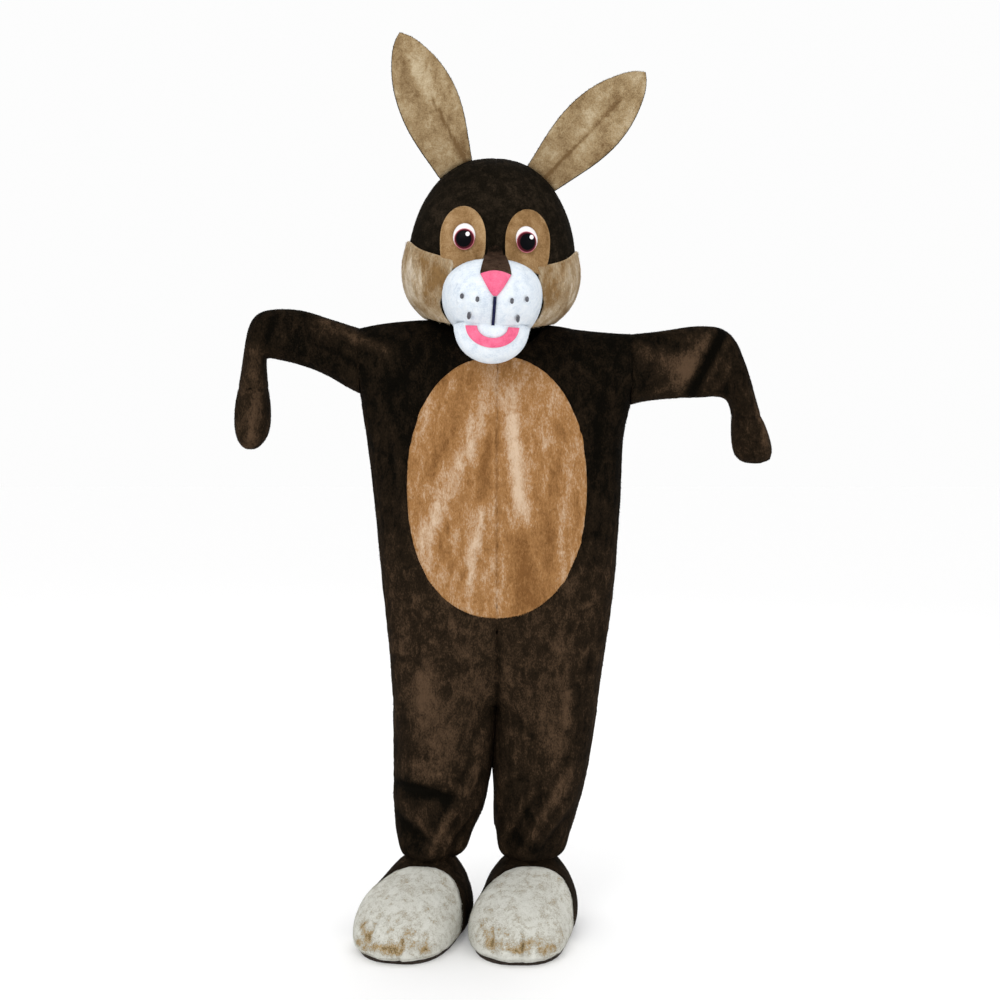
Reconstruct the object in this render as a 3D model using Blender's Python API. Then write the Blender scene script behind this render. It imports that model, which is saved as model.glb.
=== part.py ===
"""Rabbit mascot costume, filled out with no wearer: plush suit, mitts, boots and head.

Metres, +Z up. The front faces -Y, and left and right are the wearer's, so left is +X.
Heights in the tables are above the floor that the boots stand on. An empty then moves the
whole costume down, so that the origin is the shoulder mount where a wearer carries it.
"""

import math

import bpy
import bmesh
import numpy as np
from mathutils.bvhtree import BVHTree

# Driving sizes.
SHOULDER_MOUNT = 1.40
CLOTH = 0.003
FOAM_CLOTH = 0.008
BOOT_WALL = 0.006
MUZZLE_WALL = 0.005
SEAM = 0.0003
ON_TOP = 0.0008
PATCH_LIFT = 0.0009
PATCH_EDGE_LIFT = 0.0008

# The suit: outlines and half-depths of its horizontal sections.
CROTCH = 0.520
SEAT = 0.720
NECK_HALF_WIDTH = 0.105
NECK_DROP = {"front": 0.070, "back": 0.022}
SHOULDER_ROUNDING = 0.170
ARMHOLE_DEPTH = 0.052
SUIT_COLUMNS = ("z", "right_side", "right_inner", "left_inner", "left_side", "front", "back")
SUIT_SECTIONS = (
    (0.165, -0.2215, -0.0935, 0.0170, 0.1450, 0.064, 0.064),
    (0.190, -0.2320, -0.0620, 0.0020, 0.1630, 0.080, 0.078),
    (0.225, -0.2440, -0.0420, -0.0060, 0.1770, 0.091, 0.085),
    (0.300, -0.2475, -0.0250, -0.0090, 0.2010, 0.098, 0.090),
    (0.400, -0.2465, -0.0110, -0.0080, 0.2220, 0.101, 0.092),
    (0.500, -0.2480, -0.0030, -0.0020, 0.2370, 0.104, 0.094),
    (0.600, -0.2520, 0.0, 0.0, 0.2490, 0.110, 0.101),
    (0.750, -0.2650, 0.0, 0.0, 0.2700, 0.121, 0.112),
    (0.900, -0.2800, 0.0, 0.0, 0.2850, 0.130, 0.109),
    (1.050, -0.2930, 0.0, 0.0, 0.2925, 0.129, 0.105),
    (1.150, -0.3050, 0.0, 0.0, 0.2945, 0.121, 0.103),
    (1.200, -0.3130, 0.0, 0.0, 0.3010, 0.115, 0.101),
    (1.236, -0.3180, 0.0, 0.0, 0.3120, 0.108, 0.098),
    (1.262, -0.3200, 0.0, 0.0, 0.3120, 0.106, 0.097),
    (1.450, -0.3200, 0.0, 0.0, 0.3120, 0.104, 0.095),
)
SHOULDER_LINE_COLUMNS = ("x", "z")
SHOULDER_LINE = (
    (-0.320, 1.4180),
    (-0.250, 1.4290),
    (-0.155, 1.4360),
    (0.000, 1.4320),
    (0.1275, 1.4235),
    (0.220, 1.4100),
    (0.312, 1.4040),
)
ARMHOLES = {
    "right": {"sign": -1, "x": 0.320, "armpit": 1.262, "top": 1.418},
    "left": {"sign": 1, "x": 0.312, "armpit": 1.236, "top": 1.404},
}
PANEL_HEIGHTS = {
    "front": (
        0.165, 0.178, 0.195, 0.225, 0.265, 0.31, 0.38, 0.46, 0.52, 0.53, 0.555, 0.60, 0.66,
        0.72, 0.765, 0.81, 0.87, 0.93, 0.99, 1.05, 1.11, 1.17, 1.22,
    ),
    "back": (
        0.165, 0.178, 0.195, 0.225, 0.265, 0.31, 0.40, 0.52, 0.53, 0.555, 0.60, 0.66,
        0.72, 0.80, 0.90, 1.0, 1.10, 1.18,
    ),
}
YOKE_SHARES = {
    "front": (0.0, 0.22, 0.42, 0.56, 0.68, 0.80, 0.90, 0.965, 1.0),
    "back": (0.0, 0.30, 0.56, 0.76, 0.90, 0.965, 1.0),
}
PANEL_COLUMNS = {"front": 14, "back": 9}
COLUMN_CROWDING = 0.5
YOKE_FULLNESS = 2.2
YOKE_BLUNTNESS = 0.6
ANKLE_PLEATS = 3
ANKLE_PLEAT_DEPTH = 0.012
PLEAT_TOP = 0.30
PLEAT_SWELL = 3
PLEAT_AT_HEM = 0.35

# Large folds of the front: a soft ridge or trough from one point of the front to another.
FOLD_COLUMNS = ("x0", "z0", "x1", "z1", "half_width", "rise")
SIDE_FADE = 2
SHOULDER_FADE = 3
CUFF_FADE_ROWS = 2
FRONT_FOLDS = (
    (-0.050, 1.200, -0.170, 0.960, 0.050, 0.006),
    (0.085, 1.220, 0.080, 0.960, 0.050, 0.005),
    (0.000, 1.260, 0.000, 0.840, 0.045, -0.005),
    (-0.170, 0.880, -0.110, 0.800, 0.032, 0.004),
    (-0.225, 0.300, -0.120, 0.285, 0.026, -0.012),
    (-0.230, 0.245, -0.150, 0.215, 0.020, -0.010),
    (-0.170, 0.190, -0.080, 0.340, 0.018, 0.007),
    (0.070, 0.190, 0.170, 0.330, 0.018, 0.008),
    (0.030, 0.205, 0.060, 0.380, 0.018, -0.006),
    (-0.080, 0.470, -0.010, 0.600, 0.026, -0.007),
    (0.080, 0.480, 0.010, 0.600, 0.026, -0.006),
)
BACK_FOLDS = (
    (0.020, 1.300, 0.120, 1.040, 0.036, 0.007),
    (-0.020, 1.280, -0.140, 0.980, 0.036, 0.007),
    (0.000, 1.200, 0.010, 0.800, 0.034, -0.006),
    (-0.180, 0.300, -0.090, 0.270, 0.024, -0.010),
    (0.090, 0.290, 0.180, 0.320, 0.024, -0.010),
    (-0.080, 0.480, -0.010, 0.610, 0.026, -0.007),
    (0.080, 0.480, 0.010, 0.610, 0.026, -0.007),
)
SLEEVE_FOLDS = (
    (0.530, 1.415, 0.450, 1.262, 0.018, -0.010),
    (0.500, 1.410, 0.410, 1.265, 0.022, 0.006),
    (-0.345, 1.400, -0.500, 1.425, 0.018, -0.007),
    (-0.330, 1.340, -0.470, 1.370, 0.020, 0.006),
    (0.330, 1.330, 0.470, 1.360, 0.022, -0.006),
)

# The oval patch on the belly.
BELLY_CENTRE = 1.050
BELLY_HALF_WIDTH = 0.205
BELLY_HALF_HEIGHT = 0.297
BELLY_SQUARENESS = 2.25

# Sleeves and mitts: the photographed upper and lower edge of each section, and its half-depth.
ARM_COLUMNS = ("over_x", "over_z", "under_x", "under_z", "depth")
SLEEVE_SECTIONS = {
    "right": (
        (-0.3203, 1.4180, -0.3203, 1.2620, 0.052),
        (-0.3650, 1.4310, -0.3620, 1.2840, 0.047),
        (-0.4200, 1.4490, -0.4100, 1.3120, 0.044),
        (-0.4800, 1.4640, -0.4650, 1.3310, 0.043),
        (-0.5350, 1.4600, -0.5150, 1.3425, 0.045),
        (-0.5660, 1.4460, -0.5320, 1.3460, 0.050),
        (-0.5830, 1.4080, -0.5385, 1.3410, 0.055),
        (-0.5900, 1.3650, -0.5395, 1.3270, 0.058),
        (-0.5960, 1.3250, -0.5380, 1.3060, 0.058),
        (-0.6060, 1.2750, -0.5350, 1.2750, 0.057),
    ),
    "left": (
        (0.3123, 1.4040, 0.3123, 1.2360, 0.052),
        (0.3560, 1.4070, 0.3520, 1.2470, 0.048),
        (0.4100, 1.4160, 0.4050, 1.2500, 0.045),
        (0.4650, 1.4230, 0.4600, 1.2530, 0.044),
        (0.5100, 1.4220, 0.5000, 1.2545, 0.045),
        (0.5380, 1.4110, 0.5220, 1.2540, 0.049),
        (0.5620, 1.3800, 0.5350, 1.2490, 0.054),
        (0.5820, 1.3300, 0.5430, 1.2390, 0.057),
        (0.6000, 1.2740, 0.5475, 1.2260, 0.058),
        (0.6170, 1.2100, 0.5495, 1.2100, 0.057),
    ),
}
MITT_SECTIONS = {
    "right": (
        (-0.6060, 1.2747, -0.5350, 1.2747, 0.057),
        (-0.6135, 1.2450, -0.5310, 1.2450, 0.058),
        (-0.6175, 1.2120, -0.5290, 1.2120, 0.057),
        (-0.6170, 1.1800, -0.5330, 1.1800, 0.052),
        (-0.6100, 1.1540, -0.5430, 1.1560, 0.042),
        (-0.5980, 1.1370, -0.5600, 1.1370, 0.024),
        (-0.5800, 1.1310, -0.5800, 1.1310, 0.0),
    ),
    "left": (
        (0.6170, 1.2097, 0.5495, 1.2097, 0.057),
        (0.6320, 1.1800, 0.5490, 1.1800, 0.058),
        (0.6420, 1.1530, 0.5505, 1.1530, 0.057),
        (0.6475, 1.1290, 0.5540, 1.1290, 0.051),
        (0.6430, 1.1100, 0.5630, 1.1100, 0.039),
        (0.6280, 1.1020, 0.5820, 1.1020, 0.022),
        (0.6050, 1.0990, 0.6050, 1.0990, 0.0),
    ),
}
ARM_RING = 16
SLEEVE_STATIONS = 12
MITT_STATIONS = 7

# Boots: plan outline at each height, about the ankle, toes towards -Y before the boot is turned.
BOOT_COLUMNS = ("z", "half_width", "toe", "heel", "egg")
BOOT_SECTIONS = (
    (0.0090, 0.1130, 0.277, 0.086, 0.24),
    (0.0220, 0.1220, 0.290, 0.092, 0.24),
    (0.0450, 0.1235, 0.288, 0.092, 0.23),
    (0.0700, 0.1200, 0.270, 0.089, 0.21),
    (0.0950, 0.1110, 0.238, 0.084, 0.18),
    (0.1180, 0.0980, 0.194, 0.078, 0.13),
    (0.1370, 0.0830, 0.140, 0.071, 0.08),
    (0.1520, 0.0680, 0.088, 0.064, 0.02),
    (0.1635, 0.0592, 0.0592, 0.0592, 0.0),
    (0.1850, 0.0590, 0.0590, 0.0590, 0.0),
)
COLLAR_RADIUS = 0.0592
SWAY_REACH = 0.15
BOOTS = {
    "right": {"ankle_x": -0.1569, "turn": -9.0},
    "left": {"ankle_x": 0.0810, "turn": 0.0},
}
TOE_SWAY = -0.032
VAMP_EDGE = 0.070
VAMP_COLUMNS = 13
UPPER_COLUMNS = 19
SOLE_POINTS = 20
BOOT_HEIGHTS = (0.009, 0.022, 0.045, 0.070, 0.095, 0.118, 0.137, 0.149, 0.1540)
COLLAR_HEIGHTS = (0.1635, 0.185)
BOOT_SEAM = 0.0004
SOLE_THICKNESS = 0.0087
SOLE_SHARE = 0.985
SOLE_MIDDLE = -0.09
EGG_WIDTH = 0.26
EGG_SHIFT = 0.45
# Grooves between the toes: how far across the boot each lies, and its depth.
TOE_GROOVES = ((-0.50, 0.012), (0.0, 0.012), (0.50, 0.006))
TOE_GROOVE_WIDTH = 0.13
TOE_GROOVE_FADE = 1.6
TOE_TOP = 0.085
TOE_FADE = 0.03
TOE_BLUNTNESS = 0.62

# The head, in its own frame about its widest level.
HEAD_CENTRE = (-0.0135, -0.010, 1.5432)
HEAD_ROLL = 2.5
HEAD_YAW = 2.5
# Height and half-width of the head's outline, from the crown down.
HEAD_PROFILE = (
    (0.2630, 0.0000),
    (0.2595, 0.0350),
    (0.2510, 0.0660),
    (0.2370, 0.0920),
    (0.2110, 0.1240),
    (0.1580, 0.1625),
    (0.1060, 0.1830),
    (0.0500, 0.1935),
    (0.0000, 0.1950),
    (-0.0500, 0.1860),
    (-0.0800, 0.1710),
    (-0.1060, 0.1500),
    (-0.1400, 0.1200),
)
HEAD_FRONT = 0.96
HEAD_BACK = 1.05
HEAD_SQUARENESS = 2.15
HEAD_ROWS = (0.0, 0.025, 0.075, 0.14, 0.22, 0.32, 0.43, 0.54, 0.65, 0.76, 0.88, 1.0)
HEAD_HALF_COLUMNS = 15
HEAD_CURVE_POINTS = 600
RIM_SIDE = -0.112
RIM_FRONT = -0.135

PATCH = {"x": 0.071, "z": 0.059, "half_width": 0.051, "half_height": 0.0725}
PATCH_COLUMNS = 9
PATCH_ROWS = 7
ABOVE_MUZZLE = 0.0015
CHEEK_TOP_COLUMNS = ("share", "z")
CHEEK_TOP = ((0.0, 0.006), (0.25, 0.026), (0.5, 0.044), (0.75, 0.050), (1.0, 0.030))
CHEEK_FRONT = math.radians(34)
CHEEK_REAR = math.radians(112)
CHEEK_LEAN = 0.10
CHEEK_BULGE = 0.011
CHEEK_ROUND = 0.6
CHEEK_WIDEST = 0.98
CHEEK_LIFT = 0.0013
CHEEK_ROWS = 7
CHEEK_COLUMNS = 11
ABOVE_RIM = 0.004
BESIDE_MUZZLE = 0.003

MUZZLE = {"z": -0.060, "half_width": 0.1125, "half_height": 0.0755, "reach": 0.125}
MUZZLE_LEAN = 0.025
MUZZLE_ROUND = {"upper": 2.4, "lower": 3.2}
MUZZLE_FULLNESS = 0.4
MUZZLE_ROWS = 7
MUZZLE_COLUMNS = 13
MUZZLE_CROWDING = 0.65
MUZZLE_LIFT = 0.0018
CLEFT_DEPTH = 0.007
CLEFT_HALF_WIDTH = 0.012
CLEFT_TOP = -0.045
CLEFT_FADE = 0.03
BRIDGE_TOP = 0.052
BRIDGE_EXTRA = 0.022
BRIDGE_MARGIN = 0.004
BRIDGE_FULLNESS = 0.8
BRIDGE_ROWS = 11
BRIDGE_COLUMNS = 5
ABOVE_NOSE = 0.0012
BRIDGE_WIDTH_COLUMNS = ("z", "half_width")
BRIDGE_WIDTHS = ((-0.020, 0.034), (0.0, 0.030), (0.016, 0.026), (0.030, 0.021), (0.052, 0.016))
NOSE = {"top": -0.017, "tip": -0.072, "half_width": 0.033, "sag": 0.009, "thickness": 0.007}
NOSE_TIP = 0.12
NOSE_EDGE = 0.002
NOSE_ROWS = 8
NOSE_COLUMNS = 7
NOSE_TAPER = 0.8
NOSE_STEEPNESS = 5
NOSE_END_FULLNESS = {"top": 0.25, "tip": 0.2}
PHILTRUM = {"top": -0.0735, "bottom": -0.124, "half_width": 0.0034, "thickness": 0.0016}
FELT_LIFT = {"nose": 0.0012, "philtrum": 0.0006, "dot": 0.0005}
PHILTRUM_ROWS = 8
SEEN_FROM = -1.0
MUZZLE_MARGIN = 0.001
DOT_PLACES = ((0.0700, -0.0740), (0.0370, -0.0800), (0.0530, -0.1090))
DOT_RADIUS = 0.0034
DOT_THICKNESS = 0.0014
DOT_ROWS = (-1.0, -0.5, 0.5, 1.0)
DOT_BLUNTNESS = 0.12
JAW = {"y": -0.186, "top": -0.1362, "bottom": -0.214, "half_width": 0.086, "depth": 0.062}
JAW_FRONT_LIFT = 0.010
JAW_ROWS = 7
JAW_RING = 20
LIP = {"outer_x": 0.059, "outer_z": 0.042, "inner_x": 0.034, "inner_z": 0.023}
LIP_TOP = -0.1385
LIP_THICKNESS = 0.0018
LIP_COLUMNS = 13
LIP_SHARES = (0.0, 0.34, 0.67, 1.0)

EYE = {"x": 0.0675, "z": 0.062, "radius": 0.0245, "sphere": 0.034}
IRIS = {"radius": 0.0205, "drop": 0.0042, "thickness": 0.0008}
PUPIL = {"radius": 0.0132, "drop": 0.0042, "thickness": 0.0006}
EYE_LAYER = 0.0009
EYE_RING = 14
EYE_WHITE_SHARES = (1.0, 0.75, 0.4, 0.0)
EYE_DISC_SHARES = (0.0, 0.6, 1.0)

EAR_COLUMNS = ("along", "half_width")
EAR_OUTLINE = (
    (0.00, 0.041),
    (0.10, 0.048),
    (0.25, 0.060),
    (0.45, 0.070),
    (0.60, 0.068),
    (0.75, 0.056),
    (0.88, 0.036),
    (0.96, 0.019),
    (1.00, 0.000),
)
EARS = {
    "right": {"root": (-0.0920, 0.2333), "tip": (-0.2330, 0.5340)},
    "left": {"root": (0.1079, 0.2229), "tip": (0.3361, 0.4751)},
}
EAR_CUP = 0.014
EAR_SHEET = 0.004
EAR_PUFF = {"front": 0.003, "back": 0.008}
EAR_CREASE = 0.003
EAR_CREASE_WIDTH = 0.2
EAR_CREASE_END = 0.7
EAR_ROOT_SHARE = 0.15
EAR_SEARCH = (-0.14, 0.12)
EAR_ROOT_GAP = 0.0009
EAR_ROWS = (0.0, 0.12, 0.28, 0.44, 0.60, 0.74, 0.86, 0.95, 1.0)
EAR_ACROSS = 7

COLOURS = {
    "brown_plush": ((0.050, 0.031, 0.022), 0.95),
    "belly_plush": ((0.420, 0.220, 0.085), 0.90),
    "ear_plush": ((0.370, 0.265, 0.155), 0.92),
    "cheek_plush": ((0.400, 0.300, 0.190), 0.92),
    "patch_plush": ((0.270, 0.165, 0.075), 0.92),
    "white_plush": ((0.780, 0.800, 0.830), 0.90),
    "foot_plush": ((0.520, 0.470, 0.390), 0.92),
    "pink_felt": ((0.870, 0.190, 0.300), 0.80),
    "navy_felt": ((0.015, 0.016, 0.060), 0.80),
    "grey_felt": ((0.160, 0.160, 0.170), 0.80),
    "eye_white": ((0.850, 0.820, 0.810), 0.20),
    "eye_iris": ((0.220, 0.018, 0.022), 0.15),
    "eye_pupil": ((0.006, 0.006, 0.007), 0.12),
    "sole_foam": ((0.060, 0.045, 0.035), 0.85),
}

# How closely a place is searched for, and how far apart two points are where a slope is measured.
HALVINGS = 40
SLOPE_ANGLE = 0.02
SLOPE_RISE = 0.003
CHEEK_SLOPE_ANGLE = 0.01


# Curves through short tables.
def steps(count):
    """Even shares from 0 to 1."""
    return np.linspace(0.0, 1.0, count)


def smooth_at(knots, values, at):
    """A curve through the values at rising knots that never overshoots them."""
    knots, values = np.asarray(knots, float), np.asarray(values, float)
    at = np.clip(at, knots[0], knots[-1])
    spans = np.diff(knots)
    slopes = np.diff(values) / spans
    tangents = np.zeros(len(knots))
    tangents[0], tangents[-1] = slopes[0], slopes[-1]
    for k in range(1, len(knots) - 1):
        if slopes[k - 1] * slopes[k] > 0:
            tangents[k] = 2 * slopes[k - 1] * slopes[k] / (slopes[k - 1] + slopes[k])
    k = np.clip(np.searchsorted(knots, at) - 1, 0, len(spans) - 1)
    t = (at - knots[k]) / spans[k]
    rise = (3 * t**2 - 2 * t**3) * (values[k + 1] - values[k])
    lean = spans[k] * (tangents[k] * (t - 2 * t**2 + t**3) + tangents[k + 1] * (t**3 - t**2))
    return values[k] + rise + lean


def column(table, names, name, at):
    """The named column of a table at a value of its first column."""
    knots = [row[0] for row in table]
    return smooth_at(knots, [row[names.index(name)] for row in table], at)


def stations(table, count):
    """Rows read evenly along a table, on a smooth curve through its own rows."""
    table = np.array(table)
    places = np.arange(len(table))
    at = steps(count) * (len(table) - 1)
    return np.array([[smooth_at(places, table[:, c], a) for c in range(table.shape[1])] for a in at])


def fold(folds, x, z):
    """How far the folds of a table raise the cloth at a place seen from the front."""
    total = 0.0
    for row in folds:
        f = dict(zip(FOLD_COLUMNS, row))
        run = np.array((f["x1"] - f["x0"], f["z1"] - f["z0"]))
        away = np.array((x - f["x0"], z - f["z0"]))
        share = np.clip(away @ run / (run @ run), 0.0, 1.0)
        gap = np.linalg.norm(away - share * run)
        total += f["rise"] * math.exp(-((gap / f["half_width"]) ** 2))
    return total


# Meshes from grids of points.
def material(name):
    made = bpy.data.materials.get(name)
    if made is None:
        made = bpy.data.materials.new(name)
        made.use_nodes = True
        shader = made.node_tree.nodes["Principled BSDF"]
        colour, roughness = COLOURS[name]
        shader.inputs["Base Color"].default_value = (*colour, 1.0)
        shader.inputs["Roughness"].default_value = roughness
        shader.inputs["Metallic"].default_value = 0.0
    return made


def place(name, points, faces, finish, parent):
    """An object from points and faces, with its normals outwards and its round faces smooth."""
    mesh = bpy.data.meshes.new(name)
    mesh.from_pydata(points, [], faces)
    work = bmesh.new()
    work.from_mesh(mesh)
    bmesh.ops.recalc_face_normals(work, faces=work.faces)
    work.to_mesh(mesh)
    work.free()
    mesh.shade_smooth()
    mesh.set_sharp_from_angle(angle=math.radians(40))
    mesh.materials.append(material(finish))
    obj = bpy.data.objects.new(name, mesh)
    bpy.context.collection.objects.link(obj)
    obj.parent = parent
    return obj


class Points:
    """Points that are kept once each, so that the rows of a grid may close to a point."""

    def __init__(self):
        self.list = []
        self.known = {}

    def add(self, point):
        key = tuple(np.round(point, 7))
        if key not in self.known:
            self.known[key] = len(self.list)
            self.list.append([float(v) for v in point])
        return self.known[key]

    def grid(self, grid):
        return [[self.add(p) for p in row] for row in grid]


def face(corners):
    """The corners without repeats, or nothing where fewer than three are left."""
    kept = [c for k, c in enumerate(corners) if c != corners[k - 1]]
    return [kept] if len(set(kept)) > 2 else []


def skin(ids, around):
    """The faces of one grid."""
    faces = []
    width = len(ids[0])
    for low, high in zip(ids[:-1], ids[1:]):
        for c in range(width if around else width - 1):
            n = (c + 1) % width
            faces += face([low[c], low[n], high[n]]) + face([low[c], high[n], high[c]])
    return faces


def wall(name, outer, inner, finish, parent, around=False):
    """A closed wall between two grids, with its edges filled."""
    points = Points()
    out, back = points.grid(outer), points.grid(inner)
    faces = skin(out, around) + skin(back, around)
    edges = [(out[0], back[0]), (out[-1], back[-1])]
    if not around:
        edges += [([r[0] for r in out], [r[0] for r in back])]
        edges += [([r[-1] for r in out], [r[-1] for r in back])]
    for near, far in edges:
        last = len(near) if around else len(near) - 1
        for c in range(last):
            n = (c + 1) % len(near)
            faces += face([near[c], near[n], far[n], far[c]])
    return place(name, points.list, faces, finish, parent)


def closed(name, rings, finish, parent):
    """A solid whose first and last rings close to a point."""
    points = Points()
    return place(name, points.list, skin(points.grid(rings), True), finish, parent)


def normals(grid, around, outwards):
    """Unit normals of a grid on the side that outwards points to, a vector or a grid of them."""
    if around:
        across = np.roll(grid, -1, 1) - np.roll(grid, 1, 1)
    else:
        across = np.gradient(grid, axis=1)
    found = np.cross(across, np.gradient(grid, axis=0))
    size = np.linalg.norm(found, axis=2, keepdims=True)
    found = found / np.maximum(size, 1e-12)
    found *= np.sign((found * outwards).sum())
    for row, beside in ((0, 1), (-1, -2)):
        if size[row].max() < 1e-9 or np.ptp(grid[row], axis=0).max() < 1e-7:
            mean = found[beside].mean(axis=0)
            found[row] = mean / np.linalg.norm(mean)
    return found


def unit(vectors):
    return vectors / np.maximum(np.linalg.norm(vectors, axis=-1, keepdims=True), 1e-12)


def flatten(found, ring, row):
    """Turns the normals of an end ring into the plane of that ring."""
    middle = ring.mean(axis=0)
    quarter = len(ring) // 4
    plane = unit(np.cross(ring[0] - middle, ring[quarter] - middle))
    found[row] = unit(found[row] - np.outer(found[row] @ plane, plane))


# The suit.
def shoulder_height(x):
    return column(SHOULDER_LINE, SHOULDER_LINE_COLUMNS, "z", x)


def suit(name, z):
    return column(SUIT_SECTIONS, SUIT_COLUMNS, name, z)


def suit_section(side, z):
    """Middle, half-width and inner angle of one side's section at a height."""
    share = np.clip((z - CROTCH) / (SEAT - CROTCH), 0.0, 1.0)
    inner_angle = math.pi - math.asin(math.sqrt(2 * share - share**2))
    outer = abs(suit(side + "_side", z))
    inner = suit(side + "_inner", z) * ARMHOLES[side]["sign"]
    half = (outer - inner) / (1 - math.cos(inner_angle))
    return outer - half, half, inner_angle


def suit_depth(side, facing, x, z):
    """Distance of the cloth from the middle plane, for x counted outwards on its own side."""
    arm = ARMHOLES[side]
    middle, half, _ = suit_section(side, z)
    round_share = np.clip((x - middle) / half, -1.0, 1.0)
    rise = np.clip((z - arm["armpit"]) / (arm["top"] - arm["armpit"]), 0.0, 1.0)
    arm_depth = ARMHOLE_DEPTH * math.sqrt(max(0.0, 1 - (2 * rise - 1) ** 2)) if rise > 0 else 0.0
    crown = 0.5 + 0.5 * min(1.0, 2 * rise)
    profile = max(0.0, 1 - round_share**2) ** crown
    below = np.clip((shoulder_height(x * arm["sign"]) - z) / SHOULDER_ROUNDING, 0.0, 1.0)
    depth = suit(facing, z) * (1 - (1 - below) ** YOKE_FULLNESS) ** YOKE_BLUNTNESS
    creased = fold(FRONT_FOLDS if facing == "front" else BACK_FOLDS, x * arm["sign"], z)
    creased *= min(1.0, SIDE_FADE * profile) * min(1.0, SHOULDER_FADE * below)
    return arm_depth + (depth - arm_depth) * profile + creased


def suit_point(side, facing, x, z):
    """A point of the suit's outer face. x is counted outwards on its own side."""
    sign = ARMHOLES[side]["sign"]
    forward = -1 if facing == "front" else 1
    y = forward * (suit_depth(side, facing, x, z) + SEAM / 2)
    return np.array((sign * (x + SEAM / 2), y, z))


def pleated(side, point, z, share):
    """Moves a point of the leg out of its section's middle, into the gathers at the ankle."""
    fade = np.clip((PLEAT_TOP - z) / (PLEAT_TOP - PANEL_HEIGHTS["front"][0]), 0.0, 1.0)
    swell = math.sin(math.pi * min(1.0, PLEAT_SWELL * (1 - fade))) + PLEAT_AT_HEM * fade
    middle = ARMHOLES[side]["sign"] * suit_section(side, z)[0]
    wave = 0.5 - 0.5 * math.cos(2 * math.pi * ANKLE_PLEATS * share)
    away = np.array((point[0] - middle, point[1], 0.0))
    grow = ANKLE_PLEAT_DEPTH * wave * fade * max(0.0, swell)
    return point + grow * away / max(np.linalg.norm(away), 1e-9)


def suit_surface(side, facing):
    """The outer points of one front or back, from ankle to shoulder, and their normals."""
    arm = ARMHOLES[side]
    heights = [(z, None) for z in PANEL_HEIGHTS[facing]] + [(None, u) for u in YOKE_SHARES[facing]]
    drop = NECK_DROP[facing]
    grid = []
    for z, share in heights:
        row = []
        if share is None:
            middle, half, inner_angle = suit_section(side, z)
            inner = middle + half * math.cos(inner_angle)
        else:
            middle, half = 0.0, arm["x"]
            below = (1 - share) * (shoulder_height(0.0) - arm["armpit"])
            inner = NECK_HALF_WIDTH * math.sqrt(max(0.0, 1 - (below / drop) ** 2))
            inner_angle = math.acos(inner / half)
        for s in steps(PANEL_COLUMNS[facing]):
            even = inner + (middle + half - inner) * s
            crowded = middle + half * math.cos(inner_angle * (1 - s))
            x = even + COLUMN_CROWDING * (crowded - even)
            if share is None:
                angle = math.acos(np.clip((x - middle) / half, -1, 1)) / math.pi
                row.append(pleated(side, suit_point(side, facing, x, z), z, angle))
            else:
                top = shoulder_height(arm["sign"] * x)
                row.append(suit_point(side, facing, x, arm["armpit"] + share * (top - arm["armpit"])))
        grid.append(row)
    grid = np.array(grid)
    forward = -1.0 if facing == "front" else 1.0
    found = normals(grid, False, np.array((0.0, forward, 0.0)))
    leg_rows = [k for k, (z, _) in enumerate(heights) if z is not None and z <= CROTCH]
    centre_rows = [k for k in range(len(heights)) if grid[k, 0, 2] >= SEAT and abs(grid[k, 0, 0]) < SEAM]
    low_rows = [k for k, (z, _) in enumerate(heights) if z is not None]
    arm_rows = [k for k, (_, share) in enumerate(heights) if share]
    found[leg_rows, 0, 1] = 0.0
    found[centre_rows, 0, 0] = 0.0
    found[low_rows, -1, 1] = 0.0
    found[len(low_rows), -1] = (arm["sign"], 0.0, -1.0)
    found[arm_rows, -1, 0] = 0.0
    found[-1, :, 1] = 0.0
    found[0, :, 2] = 0.0
    return grid, unit(found)


def suit_panel(side, facing):
    """One front or back of the suit."""
    grid, found = suit_surface(side, facing)
    return grid, grid - CLOTH * found


def in_patch(point):
    """Under 1 inside the belly patch's oval, and 1 on its edge."""
    across = abs(point[0]) / BELLY_HALF_WIDTH
    along = abs(point[2] - BELLY_CENTRE) / BELLY_HALF_HEIGHT
    return across**BELLY_SQUARENESS + along**BELLY_SQUARENESS


def patch_edge(line):
    """Places along a line of points, from its middle outwards, at which it leaves the oval."""
    inside = [k for k, point in enumerate(line) if in_patch(point) < 1]
    ends = []
    for last, beyond in ((inside[0], inside[0] - 1), (inside[-1], inside[-1] + 1)):
        low, high = 0.0, 1.0
        for _ in range(HALVINGS):
            share = (low + high) / 2
            if in_patch(line[last] + (line[beyond] - line[last]) * share) < 1:
                low = share
            else:
                high = share
        ends.append(last + (beyond - last) * low)
    return ends


def along(line, place):
    """A point of a line of points at a place between two of them."""
    first = min(int(place), len(line) - 2)
    return line[first] + (line[first + 1] - line[first]) * (place - first)


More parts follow.
